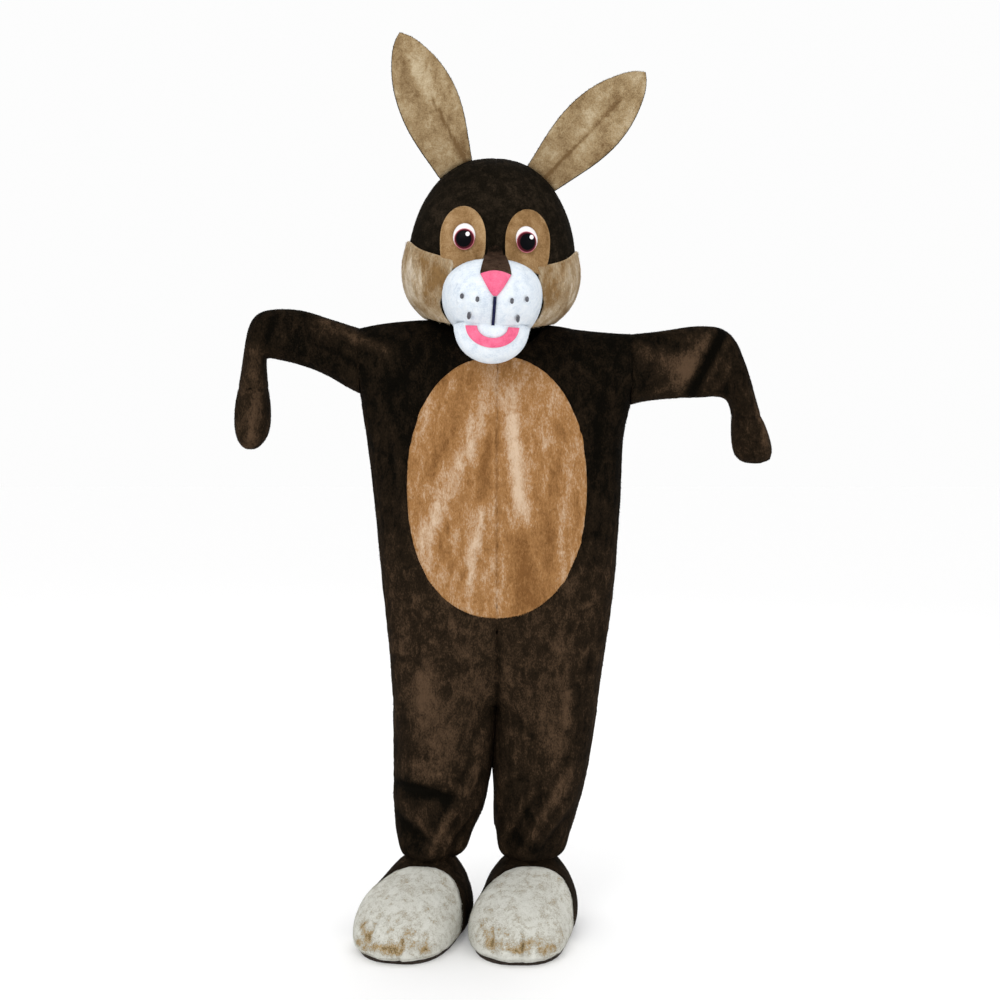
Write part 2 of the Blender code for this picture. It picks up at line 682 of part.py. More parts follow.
def belly_patch(side):
    """One half of the oval patch, made from the front's own points, moved out.

    Each column of the front is cut at the oval, and past the last column that enters the oval
    each row is cut there instead.
    """
    grid, found = suit_surface(side, "front")
    grid = grid.copy()
    columns = [c for c in range(grid.shape[1]) if min(in_patch(p) for p in grid[:, c]) < 1]
    ranges = [patch_edge(grid[:, c]) for c in columns]
    first = math.floor(min(low for low, _ in ranges))
    last = math.ceil(max(high for _, high in ranges))
    points, away, lift = [], [], []
    for r in range(first, last + 1):
        row, row_away = [], []
        for c, (low, high) in zip(columns, ranges):
            place_on = min(max(r, low), high)
            row.append(along(grid[:, c], place_on))
            row_away.append(along(found[:, c], place_on))
        lift.append([0.0 if low < r < high else PATCH_EDGE_LIFT for low, high in ranges + ranges[-1:]])
        lift[-1][-1] = PATCH_EDGE_LIFT
        low, high = ranges[-1]
        if low < r < high:
            line = grid[r, columns[-1]:]
            side_edge = patch_edge(np.vstack((grid[r, :1], line)))[1] - 1
            row.append(along(line, side_edge))
            row_away.append(along(found[r, columns[-1]:], side_edge))
        else:
            row.append(row[-1])
            row_away.append(row_away[-1])
        points.append(row)
        away.append(row_away)
    points, away = np.array(points), unit(np.array(away))
    lift = PATCH_LIFT + np.array(lift)[:, :, None]
    return points + (lift + CLOTH) * away, points + lift * away


def arm_grid(table, count, folds):
    """Rings of a sleeve or mitt, through the upper and lower edges of its sections."""
    grid = []
    for row in stations(table, count):
        s = dict(zip(ARM_COLUMNS, row))
        over = np.array((s["over_x"], 0.0, s["over_z"]))
        under = np.array((s["under_x"], 0.0, s["under_z"]))
        middle, half = (over + under) / 2, (over - under) / 2
        ring = []
        for k in range(ARM_RING):
            angle = 2 * math.pi * k / ARM_RING
            point = middle + half * math.cos(angle)
            point[1] = -s["depth"] * math.sin(angle)
            ring.append(point)
        grid.append(ring)
    grid = np.array(grid)
    for r in range(1, count - 1):
        for k in range(ARM_RING):
            x, y, z = grid[r, k]
            facing = math.sin(2 * math.pi * k / ARM_RING)
            fade = min(1.0, r / CUFF_FADE_ROWS, (count - 1 - r) / CUFF_FADE_ROWS)
            grid[r, k, 1] -= fold(folds, x, z) * facing * fade
    return grid


def tube_wall(name, grid, thickness, finish, parent, closed_end=False):
    """A tube's wall. Its open ends are flat."""
    middles = grid.mean(axis=1, keepdims=True)
    found = normals(grid, True, grid - middles)
    flatten(found, grid[0], 0)
    if not closed_end:
        flatten(found, grid[-1], -1)
    return wall(name, grid, grid - thickness * found, finish, parent, around=True)


# The boots.
def boot(name, z):
    return column(BOOT_SECTIONS, BOOT_COLUMNS, name, z)


def boot_point(z, angle):
    """A point of the boot's outer face. Angle 0 is the toe, and a quarter turn is +X."""
    s, c = math.sin(angle), math.cos(angle)
    egg = boot("egg", z)
    width = boot("half_width", z) / (1 - EGG_WIDTH * egg)
    blunt = 1 - (1 - TOE_BLUNTNESS) * min(1.0, egg / BOOT_SECTIONS[0][-1])
    x = width * s * (1 - EGG_SHIFT * egg + egg * c)
    y = -(boot("toe", z) if c > 0 else boot("heel", z)) * math.copysign(abs(c) ** blunt, c)
    forward = np.clip((-y - COLLAR_RADIUS) / (SWAY_REACH - COLLAR_RADIUS), 0.0, 1.0)
    if c > 0:
        fade = np.clip((TOE_TOP - z) / TOE_FADE, 0.0, 1.0) * min(1.0, c * TOE_GROOVE_FADE)
        across = x / boot("half_width", z)
        for place_across, depth in TOE_GROOVES:
            y += depth * fade * math.exp(-(((across - place_across) / TOE_GROOVE_WIDTH) ** 2))
    return np.array((x + TOE_SWAY * forward**2 * (3 - 2 * forward), y, z))


def boot_away(z, angle):
    """The direction straight out of the boot's outer face."""
    across = boot_point(z, angle + SLOPE_ANGLE) - boot_point(z, angle - SLOPE_ANGLE)
    up = boot_point(z + SLOPE_RISE, angle) - boot_point(z - SLOPE_RISE, angle)
    return unit(np.cross(across, up))


def seam_angle(z, edge):
    """Angle from the toe at which a section crosses the plane of the seam under the ankle."""
    return math.acos(min(1.0, edge / boot("toe", z)))


def seam_top(edge):
    """Height at which the seam reaches the front of the ankle."""
    low, high = BOOT_HEIGHTS[-1], COLLAR_HEIGHTS[0]
    for _ in range(HALVINGS):
        middle = (low + high) / 2
        if boot("toe", middle) > edge:
            low = middle
        else:
            high = middle
    return low


def boot_wall(heights, angles):
    """Outer and inner points of a piece of the boot, from a row of angles for each height.

    The wall's edges lie flat in the planes of its sole, top and seams.
    """
    outer, inner = [], []
    for z, row in zip(heights, angles):
        away = np.array([boot_away(z, angle) for angle in row])
        across_seam = 1 if z in BOOT_HEIGHTS else 0
        away[0, across_seam] = 0.0
        away[-1, across_seam] = 0.0
        if z in (BOOT_HEIGHTS[0], COLLAR_HEIGHTS[-1]):
            away[:, 2] = 0.0
        points = np.array([boot_point(z, angle) for angle in row])
        outer.append(points)
        inner.append(points - BOOT_WALL * unit(away))
    return np.array(outer), np.array(inner)


def boot_vamp():
    """The pale top and toes."""
    edge = VAMP_EDGE + BOOT_SEAM
    heights = BOOT_HEIGHTS + (seam_top(edge),)
    angles = [[seam_angle(z, edge) * (2 * s - 1) for s in steps(VAMP_COLUMNS)] for z in heights[:-1]]
    return boot_wall(heights, angles + [[0.0] * VAMP_COLUMNS])


def boot_upper():
    """The brown sides, heel and ankle, with a seam up the front of the ankle."""
    edge = VAMP_EDGE - BOOT_SEAM
    heights = BOOT_HEIGHTS + (seam_top(edge),) + COLLAR_HEIGHTS
    angles = []
    for z in heights:
        first = max(seam_angle(z, edge), BOOT_SEAM / boot("toe", z))
        angles.append([first + (2 * math.pi - 2 * first) * s for s in steps(UPPER_COLUMNS)])
    return boot_wall(heights, angles)


def boot_sole():
    """A flat sole under both."""
    turn = 2 * math.pi / SOLE_POINTS
    ring = np.array([boot_point(BOOT_HEIGHTS[0], turn * k) for k in range(SOLE_POINTS)])
    ring = ring * (SOLE_SHARE, SOLE_SHARE, 1.0)
    middle = np.array((0.0, SOLE_MIDDLE, 0.0))
    rings = []
    for share, z in ((0, 0.0), (1, 0.0), (1, SOLE_THICKNESS), (0, SOLE_THICKNESS)):
        level = middle + share * (ring - middle)
        level[:, 2] = z
        rings.append(level)
    return np.array(rings)


def make_boot(side, root):
    ankle = bpy.data.objects.new("boot_place_" + side, None)
    bpy.context.collection.objects.link(ankle)
    ankle.parent = root
    ankle.location = (BOOTS[side]["ankle_x"], 0.0, 0.0)
    ankle.rotation_euler = (0.0, 0.0, math.radians(BOOTS[side]["turn"]))
    wall("boot_vamp_" + side, *boot_vamp(), "foot_plush", ankle)
    wall("boot_upper_" + side, *boot_upper(), "brown_plush", ankle)
    closed("boot_sole_" + side, boot_sole(), "sole_foam", ankle)


# The head.
def head_curve():
    places = np.arange(len(HEAD_PROFILE))
    at = steps(HEAD_CURVE_POINTS) * (len(HEAD_PROFILE) - 1)
    z = [smooth_at(places, [row[0] for row in HEAD_PROFILE], a) for a in at]
    width = [smooth_at(places, [row[1] for row in HEAD_PROFILE], a) for a in at]
    return np.array(z)[::-1], np.array(width)[::-1]


HEAD_Z, HEAD_WIDTH = head_curve()


def head_width(z):
    return float(np.interp(z, HEAD_Z, HEAD_WIDTH))


def head_point(angle, z, out=0.0):
    """A point of the head. Angle 0 is the face, and a quarter turn is +X."""
    s, c = math.sin(angle), math.cos(angle)
    power = 2 / HEAD_SQUARENESS
    width = head_width(z)
    depth = width * (HEAD_FRONT if c > 0 else HEAD_BACK)
    x = (width + out) * math.copysign(abs(s) ** power, s)
    y = -(depth + out) * math.copysign(abs(c) ** power, c)
    return np.array((x, y, z))


def head_front(x, z):
    """How far the face is in front of the head's middle."""
    width = max(head_width(z), 1e-6)
    share = min(1.0, abs(x) / width)
    return HEAD_FRONT * width * (1 - share**HEAD_SQUARENESS) ** (1 / HEAD_SQUARENESS)


def rim_height(angle):
    return RIM_SIDE + (RIM_FRONT - RIM_SIDE) * math.cos(angle) ** 2


def head_quarter(sign, facing):
    """The front or back of one side of the head's foam and plush shell, from crown to neck opening."""
    top = HEAD_PROFILE[0][0]
    grid = []
    for share in HEAD_ROWS:
        row = []
        for angle in steps(HEAD_HALF_COLUMNS) * math.pi:
            point = head_point(angle, top + share * (rim_height(angle) - top))
            row.append(point * (sign, 1, 1) + (sign * SEAM / 2, 0, 0))
        grid.append(row)
    grid = np.array(grid)
    found = normals(grid, False, np.array((float(sign), 0.0, 0.0)))
    found[0] = (0.0, 0.0, 1.0)
    side_seam = HEAD_HALF_COLUMNS // 2
    found[:, 0, 0] = 0.0
    found[:, side_seam, 1] = 0.0
    found[:, -1, 0] = 0.0
    found[-1, :, 2] = 0.0
    found = unit(found)
    own = slice(0, side_seam + 1) if facing == "front" else slice(side_seam, None)
    outer = grid[:, own] + (0.0, 0.0 if facing == "front" else SEAM, 0.0)
    return outer, outer - FOAM_CLOTH * found[:, own]


def face_normal(x, z):
    reach = 0.002
    dx = (head_front(x + reach, z) - head_front(x - reach, z)) / (2 * reach)
    dz = (head_front(x, z + reach) - head_front(x, z - reach)) / (2 * reach)
    return unit(np.array((-dx, -1.0, -dz)))


def muzzle_edge(x):
    """Height of the muzzle's upper outline on the face."""
    share = min(1.0, abs(x) / MUZZLE["half_width"])
    power = MUZZLE_ROUND["upper"]
    return MUZZLE["z"] + MUZZLE["half_height"] * (1 - share**power) ** (1 / power)


def muzzle_side(z):
    """Half-width of the muzzle's outline at a height."""
    power = MUZZLE_ROUND["upper" if z > MUZZLE["z"] else "lower"]
    share = min(1.0, abs(z - MUZZLE["z"]) / MUZZLE["half_height"])
    return MUZZLE["half_width"] * (1 - share**power) ** (1 / power)


def muzzle_fullness(x, z, extra=0.0):
    """The muzzle's share of its full reach, for its own outline or one raised by extra."""
    power = MUZZLE_ROUND["upper" if z > MUZZLE["z"] else "lower"]
    tall = MUZZLE["half_height"] + (extra if z > MUZZLE["z"] else 0.0)
    total = (abs(x) / MUZZLE["half_width"]) ** power + (abs(z - MUZZLE["z"]) / tall) ** power
    return max(0.0, 1 - total)


def muzzle_reach(z):
    lean = np.clip((z - MUZZLE["z"]) / MUZZLE["half_height"], -1.0, 1.0)
    return MUZZLE["reach"] - MUZZLE_LEAN * lean


def muzzle_front(x, z):
    """How far the muzzle is in front of the head's middle."""
    cleft = CLEFT_DEPTH * math.exp(-((x / CLEFT_HALF_WIDTH) ** 2))
    cleft *= np.clip((CLEFT_TOP - z) / CLEFT_FADE, 0.0, 1.0)
    full = muzzle_fullness(x, z) ** MUZZLE_FULLNESS
    return head_front(x, z) + MUZZLE_LIFT + (muzzle_reach(z) - cleft) * full


def muzzle_half(sign):
    """One pad of the muzzle: a hollow dome whose edge lies on the face."""
    grid = []
    spread = steps(MUZZLE_COLUMNS)
    turns = MUZZLE_CROWDING * np.cos(spread * math.pi) - (1 - MUZZLE_CROWDING) * (spread * 2 - 1)
    for beta in steps(MUZZLE_ROWS) * math.pi / 2:
        row = []
        for alpha in turns * math.pi / 2:
            power = MUZZLE_ROUND["upper" if alpha > 0 else "lower"]
            c, s = max(0.0, math.cos(alpha)), math.sin(alpha)
            r = math.sin(beta) / (c**power + abs(s) ** power) ** (1 / power)
            x = MUZZLE["half_width"] * r * c if c > 1e-6 else 0.0
            z = MUZZLE["z"] + MUZZLE["half_height"] * r * s
            row.append((sign * (x + SEAM / 2), -muzzle_front(x, z), z))
        grid.append(row)
    grid = np.array(grid)
    found = normals(grid, False, np.array((0.0, -1.0, 0.0)))
    found[0] = (0.0, -1.0, 0.0)
    found[:, 0, 0] = 0.0
    found[:, -1, 0] = 0.0
    inner = grid - MUZZLE_WALL * unit(found)
    for row in inner:
        for point in row:
            point[1] = min(point[1], -(head_front(point[0], point[2]) + MUZZLE_LIFT))
    return grid, inner


def eye_patch(sign):
    """The tan oval round an eye, down to the muzzle."""
    outer, inner = [], []
    for s in steps(PATCH_COLUMNS) * 2 - 1:
        x = PATCH["x"] + PATCH["half_width"] * math.sin(s * math.pi / 2)
        tall = PATCH["half_height"] * math.cos(s * math.pi / 2)
        low = max(PATCH["z"] - tall, muzzle_edge(x) + ABOVE_MUZZLE) if abs(s) < 1 else PATCH["z"]
        high = PATCH["z"] + (tall if abs(s) < 1 else 0.0)
        outer.append([])
        inner.append([])
        for t in steps(PATCH_ROWS):
            z = low + (high - low) * t
            base = np.array((x, -head_front(x, z), z))
            away = face_normal(x, z)
            outer[-1].append((base + (ON_TOP + CLOTH) * away) * (sign, 1, 1))
            inner[-1].append((base + ON_TOP * away) * (sign, 1, 1))
    return np.array(outer), np.array(inner)


def cheek(sign):
    """The padded cheek, from the muzzle round to the side of the head."""
    outer, inner = [], []
    for t in steps(CHEEK_ROWS):
        outer.append([])
        inner.append([])
        for s in steps(CHEEK_COLUMNS):
            top = column(CHEEK_TOP, CHEEK_TOP_COLUMNS, "z", s)
            low = rim_height(CHEEK_FRONT + (CHEEK_REAR - CHEEK_FRONT) * s) + ABOVE_RIM
            z = low + (top - low) * t
            beside = min(CHEEK_WIDEST, (muzzle_side(z) + BESIDE_MUZZLE) / head_width(z))
            front = max(math.asin(beside ** (HEAD_SQUARENESS / 2)), CHEEK_FRONT + CHEEK_LEAN * t)
            angle = front + (CHEEK_REAR - front) * s
            base = head_point(angle, z)
            ahead, above = head_point(angle + CHEEK_SLOPE_ANGLE, z), head_point(angle, z + SLOPE_RISE)
            away = unit(np.cross(ahead - base, above - base))
            puff = CHEEK_BULGE * (math.sin(math.pi * s) * math.sin(math.pi * t)) ** CHEEK_ROUND
            outer[-1].append((base + (CHEEK_LIFT + CLOTH + puff) * away) * (sign, 1, 1))
            inner[-1].append((base + CHEEK_LIFT * away) * (sign, 1, 1))
    return np.array(outer), np.array(inner)


def bridge():
    """The brown strip that fills the step from the forehead to the top of the nose."""
    outer, inner = [], []
    for t in steps(BRIDGE_ROWS):
        outer.append([])
        inner.append([])
        for s in steps(BRIDGE_COLUMNS) * 2 - 1:
            low = NOSE["top"] - NOSE["sag"] * s**2 + ABOVE_NOSE
            z = low + (BRIDGE_TOP - low) * t
            x = s * column(BRIDGE_WIDTHS, BRIDGE_WIDTH_COLUMNS, "half_width", z)
            near = [muzzle_front(x, z + dz) for dz in (-BRIDGE_MARGIN, 0.0, BRIDGE_MARGIN)]
            under = max(near) + ON_TOP
            raised = muzzle_reach(z) * muzzle_fullness(x, z, BRIDGE_EXTRA) ** BRIDGE_FULLNESS
            over = max(under + CLOTH, head_front(x, z) + raised)
            outer[-1].append((x, -over, z))
            inner[-1].append((x, -under, z))
    return np.array(outer), np.array(inner)


class Muzzle:
    """The muzzle's faceted front, for what lies on it."""

    def __init__(self):
        points, faces = Points(), []
        for sign in (-1, 1):
            faces += skin(points.grid(muzzle_half(sign)[0]), False)
        self.tree = BVHTree.FromPolygons(points.list, faces)

    def front(self, x, z):
        """The y of the facet at x and z, or of the smooth form past the facets' edge."""
        beside_seam = x if abs(x) > SEAM else SEAM
        found = self.tree.ray_cast((beside_seam, SEEN_FROM, z), (0.0, 1.0, 0.0))[0]
        return -muzzle_front(x, z) if found is None else found[1]

    def on(self, x, z, thickness, lift):
        """A pair of points: the top and the underside of something that lies on the muzzle."""
        under = min(self.front(x, z + dz) for dz in (-MUZZLE_MARGIN, 0.0, MUZZLE_MARGIN)) - lift
        return (x, under - thickness, z), (x, under, z)


def pair_grid(rows):
    """The outer and the inner grid from rows of pairs of points."""
    rows = np.array(rows)
    return rows[:, :, 0], rows[:, :, 1]


def nose(muzzle):
    rows = []
    for t in steps(NOSE_ROWS):
        row = []
        for s in steps(NOSE_COLUMNS) * 2 - 1:
            half = NOSE["half_width"] * (NOSE_TIP + (1 - NOSE_TIP) * (1 - t) ** NOSE_TAPER)
            z = NOSE["top"] + (NOSE["tip"] - NOSE["top"]) * t - NOSE["sag"] * s**2 * (1 - t)
            full = (1 - s**4) * min(1.0, NOSE_STEEPNESS * t + NOSE_END_FULLNESS["top"])
            full *= min(1.0, NOSE_STEEPNESS * (1 - t) + NOSE_END_FULLNESS["tip"])
            row.append(muzzle.on(s * half, z, NOSE_EDGE + NOSE["thickness"] * full, FELT_LIFT["nose"]))
        rows.append(row)
    return pair_grid(rows)


def philtrum(muzzle):
    rows = []
    for t in steps(PHILTRUM_ROWS):
        z = PHILTRUM["top"] + (PHILTRUM["bottom"] - PHILTRUM["top"]) * t
        across = [s * PHILTRUM["half_width"] for s in (-1, 0, 1)]
        rows.append([muzzle.on(x, z, PHILTRUM["thickness"], FELT_LIFT["philtrum"]) for x in across])
    return pair_grid(rows)


def whisker_dot(muzzle, x, z):
    rows = []
    for t in DOT_ROWS:
        half = DOT_RADIUS * math.sqrt(max(DOT_BLUNTNESS, 1 - t**2))
        height = z + DOT_RADIUS * t
        rows.append([muzzle.on(x + s * half, height, DOT_THICKNESS, FELT_LIFT["dot"]) for s in (-1, 0, 1)])
    return pair_grid(rows)


def jaw_point(angle, dip):
    """A point of the chin. Angle 0 is the front, and dip runs from the rim down to the lowest point."""
    top = JAW["top"] + JAW_FRONT_LIFT * max(0.0, math.cos(angle)) ** 2
    reach = math.cos(dip)
    x = JAW["half_width"] * math.sin(angle) * reach
    y = JAW["y"] - JAW["depth"] * math.cos(angle) * reach
    return np.array((x, y, top + (JAW["bottom"] - top) * math.sin(dip)))


def jaw_grid():
    turn = 2 * math.pi / JAW_RING
    dips = (1 - steps(JAW_ROWS)) * math.pi / 2
    return np.array([[jaw_point(turn * k, dip) for k in range(JAW_RING)] for dip in dips])


def jaw_front(x, z):
    """How far the chin's front is before the head's middle, between its rim and its lowest point."""
    low, high = 0.0, math.pi / 2
    for _ in range(HALVINGS):
        dip = (low + high) / 2
        share = min(1.0, abs(x) / max(JAW["half_width"] * math.cos(dip), 1e-9))
        if jaw_point(math.asin(share), dip)[2] > z:
            low = dip
        else:
            high = dip
    return -jaw_point(math.asin(share), dip)[1]


def lip():
    """The pink crescent of the mouth, on the front of the chin."""
    rows = []
    for t in steps(LIP_COLUMNS):
        angle = math.pi * t
        row = []
        for s in LIP_SHARES:
            x = (LIP["inner_x"] + (LIP["outer_x"] - LIP["inner_x"]) * s) * math.cos(angle)
            z = LIP_TOP - (LIP["inner_z"] + (LIP["outer_z"] - LIP["inner_z"]) * s) * math.sin(angle)
            under = jaw_front(x, z) + ON_TOP
            row.append(((x, -(under + LIP_THICKNESS), z), (x, -under, z)))
        rows.append(row)
    return pair_grid(rows)


def eye_frame(sign):
    """Centre of the eye's sphere, and its outward, upward and sideways directions."""
    away = face_normal(EYE["x"], EYE["z"])
    surface = np.array((EYE["x"], -head_front(EYE["x"], EYE["z"]), EYE["z"]))
    base = math.sqrt(EYE["sphere"] ** 2 - EYE["radius"] ** 2)
    middle = surface + away * (2 * ON_TOP + CLOTH - base)
    aside = unit(np.cross(away, (0.0, 0.0, 1.0)))
    flip = np.array((sign, 1, 1))
    return middle * flip, away * flip, unit(np.cross(aside, away)) * flip, aside * flip


def eye_ring(frame, radius, sphere, drop):
    """A ring on the eye's sphere round a centre moved down by drop."""
    middle, away, up, aside = frame
    tip = unit(away * sphere - up * drop)
    rise = unit(up - tip * (up @ tip))
    out = math.sqrt(max(sphere**2 - radius**2, 0.0))
    ring = []
    for k in range(EYE_RING):
        angle = 2 * math.pi * k / EYE_RING
        ring.append(middle + tip * out + radius * (aside * math.cos(angle) + rise * math.sin(angle)))
    return ring


def eye_white(frame):
    middle, away, _, _ = frame
    base = math.sqrt(EYE["sphere"] ** 2 - EYE["radius"] ** 2)
    rings = [np.repeat([middle + away * base], EYE_RING, axis=0)]
    for share in EYE_WHITE_SHARES:
        rings.append(eye_ring(frame, EYE["radius"] * share, EYE["sphere"], 0.0))
    return np.array(rings)


def eye_disc(frame, piece, layer):
    """A thin curved disc over the eye, on its own layer."""
    low = EYE["sphere"] + layer
    high = low + piece["thickness"]
    rings = [eye_ring(frame, piece["radius"] * s, low, piece["drop"]) for s in EYE_DISC_SHARES]
    rings += [eye_ring(frame, piece["radius"] * s, high, piece["drop"]) for s in EYE_DISC_SHARES[::-1]]
    return np.array(rings)


def leaves_head(start, direction, gap):
    """Distance along a line at which it leaves the head."""
    low, high = EAR_SEARCH
    for _ in range(HALVINGS):
        middle = (low + high) / 2
        x, y, z = start + direction * middle
        width = head_width(z) + gap
        depth = width * (HEAD_FRONT if y < 0 else HEAD_BACK)
        inside = z < HEAD_PROFILE[0][0] + gap and width > 1e-6
        if inside and (abs(x) / width) ** HEAD_SQUARENESS + (abs(y) / depth) ** HEAD_SQUARENESS < 1:
            low = middle
        else:
            high = middle
    return high


def ear_sheet(side, facing):
    """The front or the back of an ear, whose root follows the head."""
    root, tip = (np.array((p[0], 0.0, p[1])) for p in (EARS[side]["root"], EARS[side]["tip"]))
    length = np.linalg.norm(tip - root)
    along = (tip - root) / length
    across = np.array((along[2], 0.0, -along[0]))
    sign = -1.0 if facing == "front" else 1.0
    layers = []
    for outside in (1, 0):
        grid = []
        for t in EAR_ROWS:
            row = []
            for s in steps(EAR_ACROSS) * 2 - 1:
                half = column(EAR_OUTLINE, EAR_COLUMNS, "half_width", t)
                middle = -EAR_CUP * s**2 * math.sin(math.pi * min(1.0, t + EAR_ROOT_SHARE))
                full = (1 - s**2) * math.sin(math.pi * (EAR_ROOT_SHARE + (1 - EAR_ROOT_SHARE) * t))
                thick = EAR_SHEET + EAR_PUFF[facing] * full
                if facing == "front":
                    crease = math.exp(-((s / EAR_CREASE_WIDTH) ** 2)) * max(0.0, 1 - t / EAR_CREASE_END)
                    thick -= EAR_CREASE * crease
                y = middle + sign * (SEAM / 2 + outside * thick)
                start = root + across * half * s + np.array((0.0, y, 0.0))
                first = leaves_head(start, along, EAR_ROOT_GAP)
                row.append(start + along * (first + (length - first) * t))
            grid.append(row)
        layers.append(np.array(grid))
    return layers


def make_head(root):
    frame = bpy.data.objects.new("head_place", None)
    bpy.context.collection.objects.link(frame)
    frame.parent = root
    frame.location = HEAD_CENTRE
    frame.rotation_euler = (0.0, math.radians(HEAD_ROLL), math.radians(HEAD_YAW))
    muzzle = Muzzle()
    for side, sign in (("right", -1), ("left", 1)):
        for facing in ("front", "back"):
            wall(f"head_shell_{facing}_{side}", *head_quarter(sign, facing), "brown_plush", frame)
        wall("head_cheek_" + side, *cheek(sign), "cheek_plush", frame)
        wall("head_eye_patch_" + side, *eye_patch(sign), "patch_plush", frame)
        wall("head_muzzle_" + side, *muzzle_half(sign), "white_plush", frame)
        eye = eye_frame(sign)
        closed("eye_white_" + side, eye_white(eye), "eye_white", frame)
        closed("eye_iris_" + side, eye_disc(eye, IRIS, EYE_LAYER), "eye_iris", frame)
        over = 2 * EYE_LAYER + IRIS["thickness"]
        closed("eye_pupil_" + side, eye_disc(eye, PUPIL, over), "eye_pupil", frame)
        for number, (x, z) in enumerate(DOT_PLACES, 1):
            wall(f"whisker_dot_{side}_{number}", *whisker_dot(muzzle, sign * x, z), "grey_felt", frame)
        for facing, finish in (("front", "ear_plush"), ("back", "brown_plush")):
            wall(f"ear_{facing}_{side}", *ear_sheet(side, facing), finish, frame)
    wall("head_bridge", *bridge(), "brown_plush", frame)
    wall("nose", *nose(muzzle), "pink_felt", frame)
    wall("philtrum", *philtrum(muzzle), "navy_felt", frame)
    tube_wall("head_jaw", jaw_grid()[::-1], MUZZLE_WALL, "white_plush", frame, closed_end=True)
    wall("mouth_lip", *lip(), "pink_felt", frame)


def make_suit(root):
    for side in ARMHOLES:
        for facing in ("front", "back"):
            wall(f"suit_{facing}_{side}", *suit_panel(side, facing), "brown_plush", root)
        wall("belly_patch_" + side, *belly_patch(side), "belly_plush", root)
        sleeve = arm_grid(SLEEVE_SECTIONS[side], SLEEVE_STATIONS, SLEEVE_FOLDS)
        tube_wall("sleeve_" + side, sleeve, CLOTH, "brown_plush", root)
        mitt = arm_grid(MITT_SECTIONS[side], MITT_STATIONS, ())
        tube_wall("mitt_" + side, mitt, CLOTH, "brown_plush", root, closed_end=True)


def main():
    for old in list(bpy.data.objects):
        bpy.data.objects.remove(old)
    root = bpy.data.objects.new("costume_place", None)
    bpy.context.collection.objects.link(root)
    root.location = (0.0, 0.0, -SHOULDER_MOUNT)
    make_suit(root)
    for side in BOOTS:
        make_boot(side, root)
    make_head(root)


main()
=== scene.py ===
"""Looks for the filled-out rabbit mascot costume: creased plush with its pile, felt face and glossy eyes.

Metres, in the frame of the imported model: +Z up, the front faces -Y and +X is the wearer's left.
Each piece starts from its own solid's form, made finer, and stands for that solid.
"""

import math
from functools import partial

import bmesh
import bpy
import numpy as np
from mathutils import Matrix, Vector, noise
from mathutils.bvhtree import BVHTree
from mathutils.kdtree import KDTree


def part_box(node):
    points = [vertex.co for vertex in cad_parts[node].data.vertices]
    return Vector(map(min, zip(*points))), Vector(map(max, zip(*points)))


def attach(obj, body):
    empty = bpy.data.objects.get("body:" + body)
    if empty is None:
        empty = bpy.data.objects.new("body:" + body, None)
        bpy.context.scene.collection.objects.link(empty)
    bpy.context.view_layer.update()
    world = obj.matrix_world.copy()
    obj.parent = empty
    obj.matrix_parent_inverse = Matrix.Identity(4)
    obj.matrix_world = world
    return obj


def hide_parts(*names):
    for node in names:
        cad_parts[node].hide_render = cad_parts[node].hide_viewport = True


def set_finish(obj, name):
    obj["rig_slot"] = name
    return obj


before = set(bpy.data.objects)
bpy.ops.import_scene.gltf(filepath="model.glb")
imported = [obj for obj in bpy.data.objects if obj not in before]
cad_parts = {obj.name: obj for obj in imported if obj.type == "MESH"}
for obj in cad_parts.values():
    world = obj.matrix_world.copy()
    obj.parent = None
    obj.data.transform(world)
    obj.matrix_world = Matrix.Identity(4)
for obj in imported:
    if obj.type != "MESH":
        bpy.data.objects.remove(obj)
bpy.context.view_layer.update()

# The camera stands where the photograph's did, and its frame is 1000 pixels square.
CAMERA = (0.007, -3.43, -0.13)
CAMERA_TILT = math.radians(-4.27)
LENS = 52.56
SENSOR = 36.0
PICTURE = 1000
FLOOR = -1.40

SIDES = {"right": -1, "left": 1}
SEED = 7


def photo_pixels(points):
    """The column and row of the photograph at which each point shows."""
    offset = points - np.array(CAMERA)
    ahead = offset[:, 1] * math.cos(CAMERA_TILT) + offset[:, 2] * math.sin(CAMERA_TILT)
    above = offset[:, 2] * math.cos(CAMERA_TILT) - offset[:, 1] * math.sin(CAMERA_TILT)
    focal = LENS / SENSOR * PICTURE
    return np.stack((PICTURE / 2 + focal * offset[:, 0] / ahead, PICTURE / 2 - focal * above / ahead), axis=1)


def bell(offset, width):
    """A smooth share that is 1 where there is no offset and fades over a width."""
    return np.exp(-((offset / width) ** 2))


def share_between(values, start, end):
    """How far values have come from a start to an end, from 0 to 1."""
    return np.clip((values - start) / (end - start), 0.0, 1.0)


# A row that places a crease or a tone has a segment and a half width in pixels of the photograph, and a
# strength. A crease's strength is its rise in metres, and a trough's is negative.
SEGMENT_COLUMNS = ("column_0", "row_0", "column_1", "row_1", "half_width", "strength")

